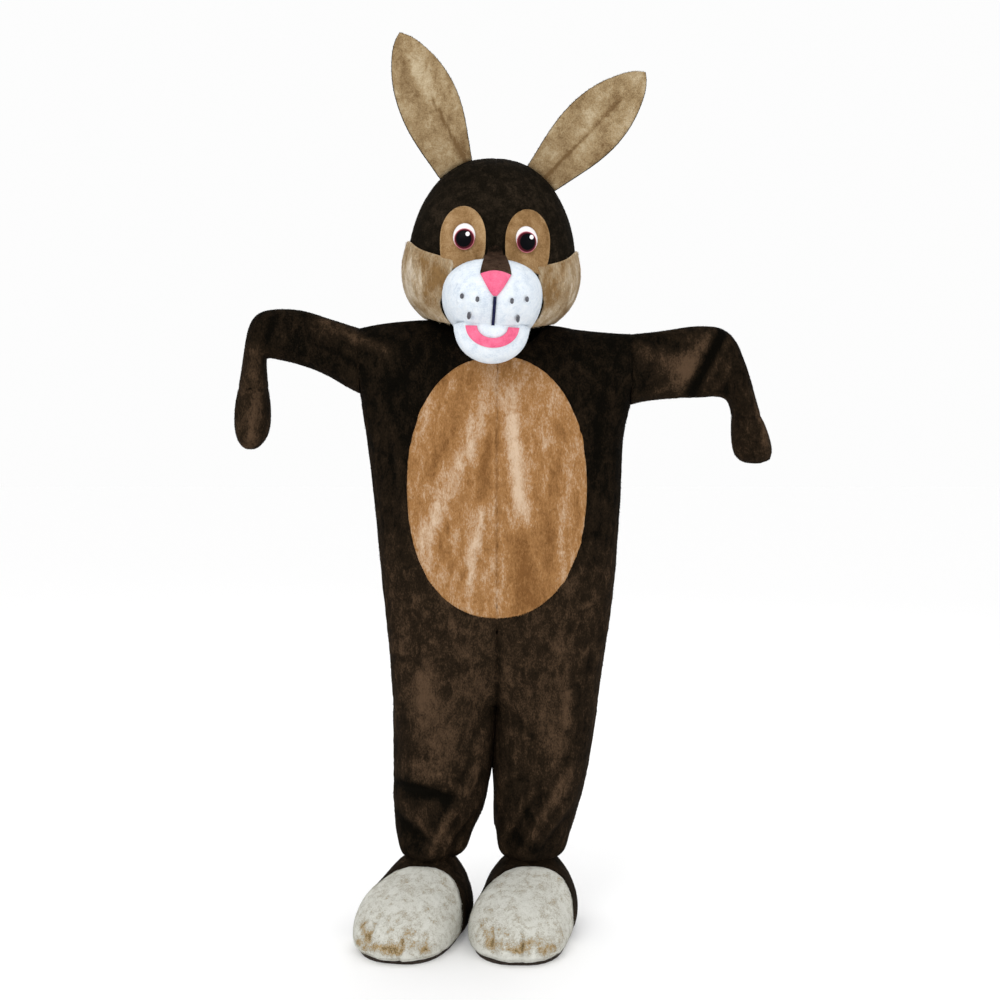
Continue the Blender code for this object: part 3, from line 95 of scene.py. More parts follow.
# Creases of the front, and of the back, which are placed as they would be seen through the front.
FRONT_CREASES = (
    (420, 350, 384, 404, 5.0, -0.0040),
    (372, 372, 402, 470, 5.0, 0.0040),
    (386, 402, 396, 520, 4.0, -0.0030),
    (604, 378, 594, 470, 5.0, -0.0040),
    (560, 352, 612, 398, 5.0, 0.0035),
    (486, 410, 424, 545, 8.0, 0.0045),
    (470, 405, 412, 505, 5.0, -0.0030),
    (482, 512, 470, 580, 4.0, 0.0040),
    (440, 519, 476, 519, 1.8, -0.0016),
    (508, 392, 523, 522, 6.0, 0.0035),
    (532, 470, 556, 590, 6.0, -0.0030),
    (452, 598, 474, 556, 3.0, -0.0030),
    (434, 570, 462, 536, 3.2, -0.0030),
    (466, 607, 480, 585, 2.4, 0.0022),
    (563, 566, 548, 530, 3.0, -0.0030),
    (546, 592, 532, 556, 2.8, 0.0026),
    (519, 613, 516, 582, 2.6, -0.0024),
    (480, 614, 486, 590, 2.4, -0.0020),
    (498, 628, 498, 706, 4.0, -0.0050),
    (497, 702, 466, 750, 4.5, -0.0050),
    (499, 702, 540, 744, 4.5, -0.0045),
    (380, 520, 402, 527, 3.0, -0.0030),
    (376, 585, 404, 596, 3.0, 0.0028),
    (384, 655, 414, 664, 3.5, -0.0030),
    (606, 528, 580, 540, 3.0, -0.0030),
    (604, 600, 576, 606, 3.0, 0.0030),
    (598, 668, 572, 676, 3.0, -0.0028),
    (430, 640, 420, 730, 9.0, 0.0045),
    (560, 630, 566, 735, 9.0, 0.0045),
    (394, 783, 456, 801, 6.0, -0.0085),
    (396, 815, 432, 846, 5.0, -0.0075),
    (404, 760, 440, 775, 5.0, 0.0050),
    (433, 850, 482, 758, 5.0, 0.0070),
    (452, 856, 486, 800, 3.5, -0.0060),
    (522, 852, 572, 768, 5.0, 0.0070),
    (506, 846, 536, 796, 3.5, -0.0060),
    (540, 852, 578, 806, 4.0, -0.0050),
    (500, 790, 528, 776, 4.0, -0.0040),
    (724, 328, 690, 396, 4.5, -0.0080),
    (712, 330, 680, 388, 5.0, 0.0060),
    (738, 345, 716, 392, 4.0, 0.0050),
    (640, 338, 700, 350, 5.0, -0.0035),
    (628, 398, 690, 380, 4.0, 0.0035),
    (752, 392, 760, 452, 4.0, -0.0045),
    (742, 432, 768, 452, 3.0, -0.0035),
    (318, 318, 388, 352, 6.0, 0.0055),
    (330, 346, 372, 378, 4.5, -0.0050),
    (276, 318, 262, 350, 4.5, -0.0060),
    (296, 316, 276, 356, 4.0, 0.0040),
    (252, 378, 244, 440, 4.0, -0.0040),
    (348, 388, 300, 364, 4.0, -0.0040),
)
BACK_CREASES = (
    (440, 352, 400, 420, 6.0, -0.0045),
    (560, 352, 596, 424, 6.0, -0.0045),
    (470, 380, 452, 500, 8.0, 0.0050),
    (530, 392, 548, 512, 8.0, 0.0045),
    (498, 430, 494, 560, 6.0, -0.0040),
    (430, 560, 470, 600, 5.0, -0.0045),
    (566, 552, 528, 604, 5.0, -0.0045),
    (497, 700, 460, 672, 5.0, -0.0050),
    (499, 700, 542, 668, 5.0, -0.0050),
    (400, 782, 462, 792, 6.0, -0.0085),
    (404, 812, 440, 836, 5.0, -0.0070),
    (524, 786, 584, 776, 6.0, -0.0085),
    (520, 822, 560, 810, 5.0, -0.0060),
    (440, 852, 470, 790, 5.0, 0.0065),
    (530, 852, 566, 796, 5.0, 0.0065),
    (708, 330, 682, 394, 5.0, -0.0070),
    (738, 350, 716, 392, 4.0, 0.0050),
    (290, 318, 272, 356, 5.0, -0.0060),
    (330, 330, 388, 352, 6.0, 0.0045),
    (640, 350, 700, 352, 6.0, 0.0040),
    (252, 378, 246, 436, 4.0, -0.0040),
    (752, 396, 762, 450, 4.0, -0.0040),
)
BOOT_CREASES = (
    (383, 906, 367, 940, 2.4, -0.0060),
    (406, 930, 399, 958, 2.2, -0.0060),
    (437, 934, 446, 955, 2.2, -0.0024),
    (492, 922, 493, 952, 2.4, -0.0060),
    (523, 928, 523, 958, 2.2, -0.0062),
    (552, 932, 556, 954, 2.2, -0.0026),
)

# Each set of creases has a side that it shows on: -1 is the front.
BODY_FOLDS = ((-1, FRONT_CREASES), (1, BACK_CREASES))
BOOT_FOLDS = ((-1, BOOT_CREASES),)
SIDE_GAIN = 1.5

# A crease fades at its ends. Beside a trough the cloth rises, and beside a ridge it sinks.
CREASE_START, CREASE_SPAN = 0.04, 0.92
CREASE_FADE = 0.6
RIDGE_BESIDE = 0.45
RIDGE_OFFSET = 1.7


def from_segment(flat, place):
    """How far each pixel lies along a segment, from 0 to 1, how far to one side, and how far from it."""
    start = np.array((place["column_0"], place["row_0"]), float)
    along = np.array((place["column_1"], place["row_1"])) - start
    length = np.linalg.norm(along)
    along = along / length
    offset = flat - start
    share = np.clip(offset @ along / length, 0.0, 1.0)
    across = offset @ np.array((along[1], -along[0]))
    beyond = np.linalg.norm(offset - np.outer(share * length, along), axis=1)
    return share, across, beyond


def crease_height(points, table):
    """How far some creases lift or sink the points, in metres."""
    flat = photo_pixels(points)
    total = np.zeros(len(points))
    for row in table:
        place = dict(zip(SEGMENT_COLUMNS, row))
        half_width = place["half_width"]
        share, across, beyond = from_segment(flat, place)
        ends = np.sin(math.pi * np.clip(share * CREASE_SPAN + CREASE_START, 0.0, 1.0)) ** CREASE_FADE
        beside = bell(across - RIDGE_OFFSET * half_width, half_width)
        beside *= bell(np.maximum(0.0, beyond - np.abs(across)), half_width)
        total += place["strength"] * ends * (bell(beyond, half_width) - RIDGE_BESIDE * beside)
    return total


def fold_height(points, found, folds):
    """How far the creases of each side lift or sink a piece, where it faces that side."""
    total = np.zeros(len(points))
    for facing, segments in folds:
        total += np.clip(facing * found[:, 1] * SIDE_GAIN, 0.0, 1.0) * crease_height(points, segments)
    return total


def noise_at(points, scale, offset=0.0):
    """Smooth noise at each point, from -1 to 1. Scale is a number, or one for each axis."""
    places = points * np.array(scale) + offset
    return np.array([noise.noise(place) for place in places.tolist()])


# Meshes as arrays.
def read_points(mesh):
    points = np.zeros(len(mesh.vertices) * 3, np.float32)
    mesh.vertices.foreach_get("co", points)
    return points.reshape(-1, 3).astype(float)


def read_normals(mesh):
    found = np.zeros(len(mesh.vertices) * 3, np.float32)
    mesh.vertices.foreach_get("normal", found)
    return found.reshape(-1, 3).astype(float)


def write_points(mesh, points):
    mesh.vertices.foreach_set("co", points.astype(np.float32).ravel())
    mesh.update()


def unit(vectors):
    return vectors / np.maximum(np.linalg.norm(vectors, axis=-1, keepdims=True), 1e-12)


# When each solid's triangles are joined into quads, and which of its edges stay sharp.
WELD = 1e-5
FLAT_ENOUGH = math.radians(40)
SHAPE_ENOUGH = math.radians(70)
EDGE_ANGLE = math.radians(42)
EDGE_STEPS = 4


def refined(node, name, levels):
    """A new object with a node's form in smooth quads, and the points of its sharp edges."""
    work = bmesh.new()
    work.from_mesh(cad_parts[node].data)
    bmesh.ops.remove_doubles(work, verts=work.verts, dist=WELD)
    bmesh.ops.join_triangles(
        work,
        faces=work.faces,
        angle_face_threshold=FLAT_ENOUGH,
        angle_shape_threshold=SHAPE_ENOUGH,
        cmp_seam=False,
        cmp_sharp=False,
        cmp_uvs=False,
        cmp_vcols=False,
        cmp_materials=False,
    )
    bmesh.ops.recalc_face_normals(work, faces=work.faces)
    creases = work.edges.layers.float.new("crease_edge")
    edge_points = []
    for edge in work.edges:
        if len(edge.link_faces) == 2 and edge.calc_face_angle(0.0) > EDGE_ANGLE:
            edge[creases] = 1.0
            start, end = (vert.co for vert in edge.verts)
            edge_points += [tuple(start.lerp(end, step / EDGE_STEPS)) for step in range(EDGE_STEPS + 1)]
    mesh = bpy.data.meshes.new(name)
    work.to_mesh(mesh)
    work.free()
    obj = bpy.data.objects.new(name, mesh)
    bpy.context.collection.objects.link(obj)
    finer = obj.modifiers.new("finer", "SUBSURF")
    finer.levels = levels
    finer.render_levels = levels
    bpy.context.view_layer.update()
    seen = obj.evaluated_get(bpy.context.evaluated_depsgraph_get())
    obj.data = bpy.data.meshes.new_from_object(seen)
    obj.data.name = name
    obj.modifiers.clear()
    obj.data.shade_smooth()
    return obj, edge_points


def nearest(points, others):
    """For each point, the number of the nearest of the others and how far it is."""
    tree = KDTree(len(others))
    for number, place in enumerate(others):
        tree.insert(place, number)
    tree.balance()
    found = [tree.find(place) for place in points.tolist()]
    return np.array([f[1] for f in found]), np.array([f[2] for f in found])


# The middles of the body's hollow parts, which tell a wall's outer skin from its inner one.
CROTCH = -0.88
LEG_GAP = -0.002
LEG_MIDDLES = {"right": -0.135, "left": 0.098}
ARM_LINES = {
    "right": ((-0.27, 0.0, -0.05), (-0.44, 0.0, -0.012), (-0.53, 0.0, -0.035), (-0.568, 0.0, -0.12),
              (-0.575, 0.0, -0.27)),
    "left": ((0.27, 0.0, -0.06), (0.42, 0.0, -0.075), (0.50, 0.0, -0.08), (0.56, 0.0, -0.15),
             (0.598, 0.0, -0.31)),
}
HEAD_MIDDLE = (-0.0135, -0.010, 0.145)
# A boot's middle stays behind its toe, and between two heights above the floor up to where the ankle starts.
BOOT_MIDDLE = {"toe": 0.09, "low": 0.06, "high": 0.09, "ankle": 0.135}


def body_core(points):
    """The middle of the body or of the leg at each point's height."""
    core = points.copy()
    core[:, 1] = 0.0
    leg = points[:, 2] < CROTCH
    core[~leg, 0] = 0.0
    for side, sign in SIDES.items():
        own = leg & (np.sign(points[:, 0] - LEG_GAP) == sign)
        core[own, 0] = LEG_MIDDLES[side]
    return core


def head_core(points):
    return np.tile(HEAD_MIDDLE, (len(points), 1))


def line_core(points, line):
    """The nearest point of a line through several places, for each point."""
    best = np.full(len(points), np.inf)
    core = np.zeros_like(points)
    for start, end in zip(np.array(line[:-1]), np.array(line[1:])):
        along = end - start
        share = np.clip((points - start) @ along / (along @ along), 0.0, 1.0)
        place = start + np.outer(share, along)
        far = np.linalg.norm(points - place, axis=1)
        nearer = far < best
        best[nearer] = far[nearer]
        core[nearer] = place[nearer]
    return core


def boot_core(points, side):
    """The middle of the foot, and above it the middle of the ankle."""
    low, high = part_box("boot_vamp_" + side)
    core = points.copy()
    core[:, 0] = (low.x + high.x) / 2
    core[:, 1] = np.clip(points[:, 1], low.y + BOOT_MIDDLE["toe"], 0.0)
    core[:, 2] = np.clip(points[:, 2], FLOOR + BOOT_MIDDLE["low"], FLOOR + BOOT_MIDDLE["high"])
    ankle = points[:, 2] > FLOOR + BOOT_MIDDLE["ankle"]
    core[ankle, 2] = points[ankle, 2]
    core[ankle, 1] = 0.0
    return core


# The legs touch each other below the crotch: heights and how fully, and the line between them at each height.
LEGS_MEET = ((-1.075, 0.0), (-1.02, 1.0), (-0.785, 0.8))
BETWEEN_LEGS = ((-1.08, -0.0150), (-1.00, -0.0095), (-0.90, -0.0025), (-0.80, 0.0))
LEG_PRESS = 0.0044
LEG_PRESS_WIDTH = 0.024
LEG_INNER_WIDTH = 0.05
TAPER = {"height": -1.178, "width": 0.042, "shift": 0.012}


def pressed(points, sign):
    """Moves the inner sides of one leg towards the other leg, and draws the right hem in to the ankle."""
    heights = points[:, 2]
    if sign < 0:
        inner = np.clip((points[:, 0] - LEG_MIDDLES["right"]) / LEG_INNER_WIDTH, 0.0, 1.0)
        points[:, 0] -= TAPER["shift"] * inner * bell(heights - TAPER["height"], TAPER["width"])
    line = np.interp(heights, *zip(*BETWEEN_LEGS))
    share = np.interp(heights, *zip(*LEGS_MEET), right=0.0)
    points[:, 0] -= sign * LEG_PRESS * share * bell(points[:, 0] - line, LEG_PRESS_WIDTH)
    return points


# The boots' heels stand further out, and their toes further forward, than the solids' do.
HEEL_SHIFT = {"right": -0.012, "left": -0.003}
HEEL_FROM, HEEL_FULL = -0.17, -0.03
HEEL_LOW, HEEL_TOP = -1.30, -1.19
TOE_FORWARD = 0.020
TOE_FROM, TOE_FULL = -0.07, -0.28


def stood(points, side):
    """A boot's piece with its heel and toe moved. The ankle's top stays."""
    heel = share_between(points[:, 1], HEEL_FROM, HEEL_FULL)
    heel = heel**2 * (3 - 2 * heel) * share_between(points[:, 2], HEEL_TOP, HEEL_LOW)
    toe = share_between(points[:, 1], TOE_FROM, TOE_FULL)
    points[:, 0] += HEEL_SHIFT[side] * heel
    points[:, 1] -= TOE_FORWARD * toe
    return points


def surface_of(names, leave_out=None):
    """The surface of every node whose name starts with one of the names."""
    places, faces = [], []
    for node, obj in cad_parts.items():
        if node.startswith(names) and node != leave_out:
            start = len(places)
            places += [tuple(v.co) for v in obj.data.vertices]
            faces += [[start + k for k in p.vertices] for p in obj.data.polygons]
    return BVHTree.FromPolygons(places, faces)


# The head's shell, for pieces that are moved along it.
HEAD_TREE = surface_of("head_shell_")
LEAST_SLIDE = 1e-5


def slid(points, across, up):
    """Moves points sideways and up along the head's shell."""
    middle = Vector(HEAD_MIDDLE)
    for number, (shift_x, shift_z) in enumerate(zip(across, up)):
        if abs(shift_x) + abs(shift_z) > LEAST_SLIDE:
            before = Vector(points[number]) - middle
            after = before + Vector((shift_x, 0.0, shift_z))
            wall_before = HEAD_TREE.ray_cast(middle, before.normalized())[3]
            wall_after = HEAD_TREE.ray_cast(middle, after.normalized())[3]
            if wall_before and wall_after:
                after = after.normalized() * (before.length + wall_after - wall_before)
            points[number] = middle + after
    return points


# An eye patch's whole oval is PATCH_TALL times as high as it is wide. Its lower half is squared off.
PATCH_TALL = 1.42
PATCH_LOWEST = 0.97
PATCH_SQUARE = 5.0
PATCH_SPREAD = 2.2
PATCH_DROP = 0.009


def arched(points):
    """An eye patch whose sides run straight down to the muzzle."""
    low, high = points.min(axis=0), points.max(axis=0)
    middle, half = (low + high) / 2, (high - low) / 2
    centre = high[2] - half[0] * PATCH_TALL
    down = np.clip((centre - points[:, 2]) / (half[0] * PATCH_TALL), 0.0, PATCH_LOWEST)
    wide = (1 - down**PATCH_SQUARE) ** (1 / PATCH_SQUARE) / np.sqrt(1 - down**2)
    across = (points[:, 0] - middle[0]) * (np.minimum(wide, PATCH_SPREAD) - 1)
    return slid(points, across, -PATCH_DROP * down**2)


CHEEK_SLIDE = 0.050
CHEEK_INNER = 0.128
CHEEK_SLIDE_WIDTH = 0.035
CHEEK_SLIDE_LOW = -0.075
CHEEK_CORNER = 0.055
CHEEK_RISE = 0.014


def drawn_in(points):
    """A cheek whose upper inner corner reaches the muzzle and the eye patch."""
    across, up = points[:, 0] - HEAD_MIDDLE[0], points[:, 2] - HEAD_MIDDLE[2]
    outward = np.abs(across) - CHEEK_INNER
    share = bell(np.maximum(0.0, outward), CHEEK_SLIDE_WIDTH) * np.clip(1 - up / CHEEK_SLIDE_LOW, 0.0, 1.0)
    corner = np.clip(outward / CHEEK_CORNER, 0.0, 1.0) * np.clip(up / CHEEK_CORNER, 0.0, 1.0)
    return slid(points, -np.sign(across) * CHEEK_SLIDE * share, CHEEK_RISE * corner)


MUZZLE_HANG = {"from": 0.085, "drop": 0.021, "forward": 0.004}


def hung(points):
    """The muzzle's underside, which hangs over the jaw."""
    low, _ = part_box("head_muzzle_right")
    share = share_between(points[:, 2], MUZZLE_HANG["from"], low.z) ** 3
    points[:, 2] -= MUZZLE_HANG["drop"] * share
    points[:, 1] -= MUZZLE_HANG["forward"] * share
    return points


# The bridge of the nose lies on the muzzle and on the head behind it.
BRIDGE_MIDDLE = Vector((-0.003, -0.160, 0.075))
BRIDGE_PROUD = 0.0006
BRIDGE_NEAR = 28


def laid(points):
    """Moves a piece in to what lies under it, and keeps its thickness."""
    tree = surface_of(("head_muzzle_", "head_shell_front_"))
    inward = unit(np.array(BRIDGE_MIDDLE) - points)
    gaps = []
    for point, way in zip(points, inward):
        gap = tree.ray_cast(Vector(point), Vector(way))[3]
        gaps.append(gap if gap else 0.0)
    gaps = np.array(gaps)
    near = KDTree(len(points))
    for number, point in enumerate(points.tolist()):
        near.insert(point, number)
    near.balance()
    around = [[found[1] for found in near.find_n(point, BRIDGE_NEAR)] for point in points.tolist()]
    lowest = np.array([gaps[numbers].min() for numbers in around])
    even = np.array([lowest[numbers].mean() for numbers in around])
    return points + inward * (even - BRIDGE_PROUD)[:, None]


JAW_RISE = 0.006
JAW_BACK = 0.004
JAW_STEEP, JAW_STILL = 1.6, 0.6


def raised(points):
    """The chin and lip, drawn up behind the muzzle."""
    low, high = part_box("head_jaw")
    share = np.clip((points[:, 2] - low.z) / (high.z - low.z) * JAW_STEEP - JAW_STILL, 0.0, 1.0)
    points[:, 2] += JAW_RISE * share
    points[:, 1] += JAW_BACK * share
    return points


def add_float(mesh, name, values):
    found = mesh.attributes.new(name, "FLOAT", "POINT")
    found.data.foreach_set("value", np.asarray(values, np.float32))


def read_float(mesh, name):
    values = np.zeros(len(mesh.vertices), np.float32)
    mesh.attributes[name].data.foreach_get("value", values)
    return values


# Painted light and shade of the folds: how much lighter a fold's ridge is painted than its trough, for each
# metre, and the heights that count.
FOLD_PAINTED_SHADING = 110.0
FOLD_RANGE = (-0.0085, 0.0028)
EDGE_WIDTH = 0.005

# How far from a sharp edge a wall's rim reaches, for each kind of wall.
RIM_REACH = {"head_shell": 0.0046, "boot": 0.0034, "head_muzzle": 0.0029, "head_jaw": 0.0029, "head": 0.0020}
CLOTH_RIM = 0.0019

# Kinds of panel that are sewn to each other, and how far one edge reaches to meet the next.
SEWN = (("suit_", "sleeve_", "mitt_"), ("belly_patch_",), ("head_shell_", "head_bridge"), ("head_muzzle_",))
SEAM_REACH = 0.0020
SEAM_SHARE = 0.50
SEAM_LAP = 0.0004

# Low waves: the scale of their noise, its offset and its share. Small gathers lie beside a seam.
WAVES = ((7.0, 0.0, 1.0), (19.0, 3.0, 0.5))
PUCKER_SCALE = 62.0
PUCKER_OFFSET = 7.0
PUCKER_WIDTH = 0.022


def sewn_neighbours(node):
    """The surface of the pieces that a piece is sewn to edge to edge."""
    for group in SEWN:
        if node.startswith(group):
            return surface_of(group, leave_out=node)
    return None


def outer_skin(points, found, middle, skin):
    """Which points lie on a wall's outer skin. Those of its rim take the nearest skin's side and normal."""
    outer = np.einsum("ij,ij->i", found, points - middle) > 0
    if (~skin).any():
        near, _ = nearest(points[~skin], points[skin].tolist())
        source = np.nonzero(skin)[0][near]
        found[~skin] = found[source]
        outer[~skin] = outer[source]
    return outer


def close_seams(node, points, moved, rim):
    """Keeps a rim beside its sewn neighbour from moving sideways, and lets it meet the neighbour."""
    tree = sewn_neighbours(node)
    if tree:
        for number in np.nonzero(rim)[0]:
            place = Vector(points[number])
            meets, _, _, gap = tree.find_nearest(place)
            if gap < SEAM_REACH:
                across = unit(np.array(meets - place))
                moved[number] -= across * (across @ (moved[number] - points[number]))
                moved[number] += across * (SEAM_SHARE * gap + SEAM_LAP)


def shaped(
    node, core=None, levels=2, folds=(), waviness=0.0, groove=0.0, groove_width=0.006, pucker=0.0, reform=None
):
    """A finer piece with creases, low waves and sunk seams. Both skins of a wall move together."""
    obj, edge_points = refined(node, node + "_soft", levels)
    mesh = obj.data
    points, found = read_points(mesh), read_normals(mesh)
    far = nearest(points, edge_points)[1] if edge_points else np.ones(len(points))
    reach = next((size for start, size in RIM_REACH.items() if node.startswith(start)), CLOTH_RIM)
    outer = outer_skin(points, found, core(points), far > reach) if core else np.ones(len(points), bool)
    creases = fold_height(points, found, folds)
    lift = creases.copy()
    if pucker:
        lift += pucker * noise_at(points, PUCKER_SCALE, PUCKER_OFFSET) * bell(far, PUCKER_WIDTH)
    if waviness:
        lift += waviness * sum(share * noise_at(points, scale, offset) for scale, offset, share in WAVES)
    if groove:
        lift -= groove * bell(far, groove_width)
    moved = points.copy()
    moved[outer] += lift[outer, None] * found[outer]
    if not outer.all():
        near, _ = nearest(points[~outer], points[outer].tolist())
        source = np.nonzero(outer)[0][near]
        moved[~outer] += lift[source, None] * found[source]
    close_seams(node, points, moved, far < reach)
    write_points(mesh, reform(moved) if reform else moved)
    add_float(mesh, "outside", outer)
    add_float(mesh, "strand", np.zeros(len(points)))
    # The tone paints shade into the folds' troughs and light onto their ridges.
    add_float(mesh, "tone", FOLD_PAINTED_SHADING * np.clip(creases, *FOLD_RANGE))
    add_float(mesh, "edge", bell(far, EDGE_WIDTH))
    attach(obj, "root")
    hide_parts(node)
    return obj


# Where the cloth is drawn lighter, with a strength above 0, or darker, below 0. Rows along creases are
# painted shade, and rows along ridges are painted light. On the belly the light streaks are a painted sheen
# on its ridges, and its darker lower right is the nap.
BELLY_TONES = (
    (508, 388, 523, 520, 9.0, 0.62),
    (513, 440, 520, 505, 4.5, 0.38),
    (490, 405, 424, 545, 10.0, 0.35),
    (482, 512, 469, 580, 5.0, 0.45),
    (494, 380, 494, 600, 3.0, 0.20),
    (524, 540, 530, 605, 14.0, -0.75),
    (552, 470, 556, 560, 10.0, -0.35),
    (462, 400, 430, 470, 8.0, -0.35),
    (440, 540, 462, 580, 8.0, -0.30),
    (492, 400, 480, 500, 6.0, -0.45),
    (571, 440, 560, 560, 5.0, 0.35),
)
# On the suit, the dark rows at the knees and in the sleeve's fold are painted shade, and the narrow light
# rows on ridges are painted light.
SUIT_TONES = (
    (430, 690, 440, 765, 16.0, 0.55),
    (470, 690, 480, 740, 10.0, 0.35),
    (540, 700, 560, 780, 14.0, 0.30),
    (405, 640, 420, 700, 12.0, 0.30),
    (395, 783, 456, 801, 6.0, -0.60),
    (396, 815, 416, 845, 8.0, -0.70),
    (518, 838, 534, 852, 6.0, -0.70),
    (433, 850, 482, 758, 5.0, 0.20),
    (522, 852, 572, 768, 4.0, 0.25),
    (404, 762, 440, 778, 5.0, 0.25),
    (318, 320, 388, 352, 6.0, 0.45),
    (255, 350, 250, 440, 12.0, 1.00),
    (700, 345, 676, 380, 14.0, 0.80),
    (640, 350, 690, 368, 10.0, 0.70),
    (724, 330, 692, 396, 4.0, -0.70),
    (756, 390, 764, 450, 9.0, 0.55),
)
# Tones by height: the suit is nearly black at the shoulders and browner down the legs.
SUIT_HEIGHTS = (
    (-1.30, -0.40),
    (-1.05, -0.20),
    (-0.85, 0.10),
    (-0.62, 0.00),
    (-0.45, -0.35),
    (-0.25, -0.75),
    (0.10, -0.80),
)
BRIDGE_HEIGHTS = ((0.13, 0.35), (0.165, 0.10), (0.190, -1.10))
SLEEVE_HEIGHTS = ((-0.45, -0.30), (-0.20, -0.25), (-0.02, -0.60))
CHEEK_TONES = (
    (424, 262, 440, 280, 8.0, -1.00),
    (440, 264, 444, 292, 7.0, -0.80),
    (547, 272, 550, 300, 7.0, -0.90),
    (562, 262, 556, 290, 6.0, -0.70),
    (428, 284, 426, 306, 5.0, -0.60),
    (560, 300, 566, 312, 6.0, -0.60),
    (414, 262, 410, 300, 5.0, 0.40),
    (556, 300, 553, 318, 5.0, 0.40),
)
# The narrow dark rows are painted shade in each ear's middle crease.
EAR_TONES = (
    (471, 172, 433, 100, 1.3, -1.25),
    (462, 150, 420, 95, 7.0, -0.35),
    (412, 60, 440, 110, 6.0, 0.35),
    (543, 180, 622, 98, 1.3, -1.25),
    (560, 150, 600, 100, 8.0, 0.30),
    (545, 178, 580, 165, 8.0, -0.45),
)
FOOT_TONES = (
    (376, 947, 394, 951, 7.0, -0.85),
    (363, 924, 368, 938, 4.0, -0.75),
    (408, 944, 426, 950, 7.0, -0.60),
    (410, 930, 424, 938, 6.0, -0.35),
    (359, 942, 364, 948, 4.0, -0.85),
    (484, 928, 488, 946, 4.5, -0.75),
    (494, 928, 508, 934, 4.0, -0.45),
    (497, 944, 516, 950, 6.0, -0.65),
    (530, 946, 552, 950, 7.0, -0.85),
)


TONE_LIMIT = 1.6
TONE_SIDE_GAIN = 2.0
PATCH_STEP = 11.0


def placed_tone(points, table):
    """The tones that the photograph shows at known places."""
    flat = photo_pixels(points)
    total = np.zeros(len(points))
    for row in table:
        place = dict(zip(SEGMENT_COLUMNS, row))
        _, _, beyond = from_segment(flat, place)
        total += place["strength"] * bell(beyond, place["half_width"])
    return total


def set_tone(obj, patches=(), table=(), front_only=True, heights=None, edge=0.0):
    """Patches are rows of noise: its scale for each axis, and how strong it is.

    Heights are rows of z and tone, and edge is how much lighter a piece's edges are.
    """
    points, found = read_points(obj.data), read_normals(obj.data)
    tone = read_float(obj.data, "tone") + edge * read_float(obj.data, "edge")
    if heights:
        tone += np.interp(points[:, 2], *zip(*heights))
    for number, (scale, strength) in enumerate(patches):
        tone += strength * noise_at(points, scale, PATCH_STEP * number)
    if table:
        shown = np.clip(-found[:, 1] * TONE_SIDE_GAIN, 0.0, 1.0) if front_only else 1.0
        tone += shown * placed_tone(points, table)
    tone = np.clip(tone, -TONE_LIMIT, TONE_LIMIT).astype(np.float32)
    obj.data.attributes["tone"].data.foreach_set("value", tone)


# The pile: blades of one triangle each, whose roots stand on the outer skin.
BARE_REACH = 0.0045
ROOT_SINK = 0.0004
SWIRL = 0.8
SWIRL_SCALE = 24.0
SWIRL_STEP = 5.0
SWIRL_EVERY = 8
TUFTED = 0.18
SIDE_SPREAD = 0.2
LENGTH_LEAST, LENGTH_SPREAD = 0.65, 0.5
NORMAL_LEAN = 0.15
STRAND_SPREAD = 0.4
# Each blade is painted darker at its two root corners and lighter at its tip: painted shade deep in the pile
# and painted light on its tips.
BLADE_PAINTED_SHADING = (-0.2, -0.2, 0.3)


def scattered(mesh, spacing, draw):
    """Places spread over a piece's outer skin, with the normal and the tone at each."""
    mesh.calc_loop_triangles()
    corners = np.zeros(len(mesh.loop_triangles) * 3, np.int32)
    mesh.loop_triangles.foreach_get("vertices", corners)
    corners = corners.reshape(-1, 3)
    points, found = read_points(mesh), read_normals(mesh)
    outside, tone = read_float(mesh, "outside"), read_float(mesh, "tone")
    corners = corners[outside[corners].min(axis=1) > 0.5]
    a, b, c = (points[corners[:, k]] for k in range(3))
    area = np.linalg.norm(np.cross(b - a, c - a), axis=1) / 2
    count = int(area.sum() / spacing**2)
    chosen = corners[draw.choice(len(corners), count, p=area / area.sum())]
    first, second = draw.random(count), draw.random(count)
    folded = first + second > 1
    first[folded], second[folded] = 1 - first[folded], 1 - second[folded]
    shares = np.stack((1 - first - second, first, second), axis=1)[:, :, None]
    roots = (points[chosen] * shares).sum(axis=1)
    away = unit((found[chosen] * shares).sum(axis=1))
    return roots, away, (tone[chosen] * shares[:, :, 0]).sum(axis=1)


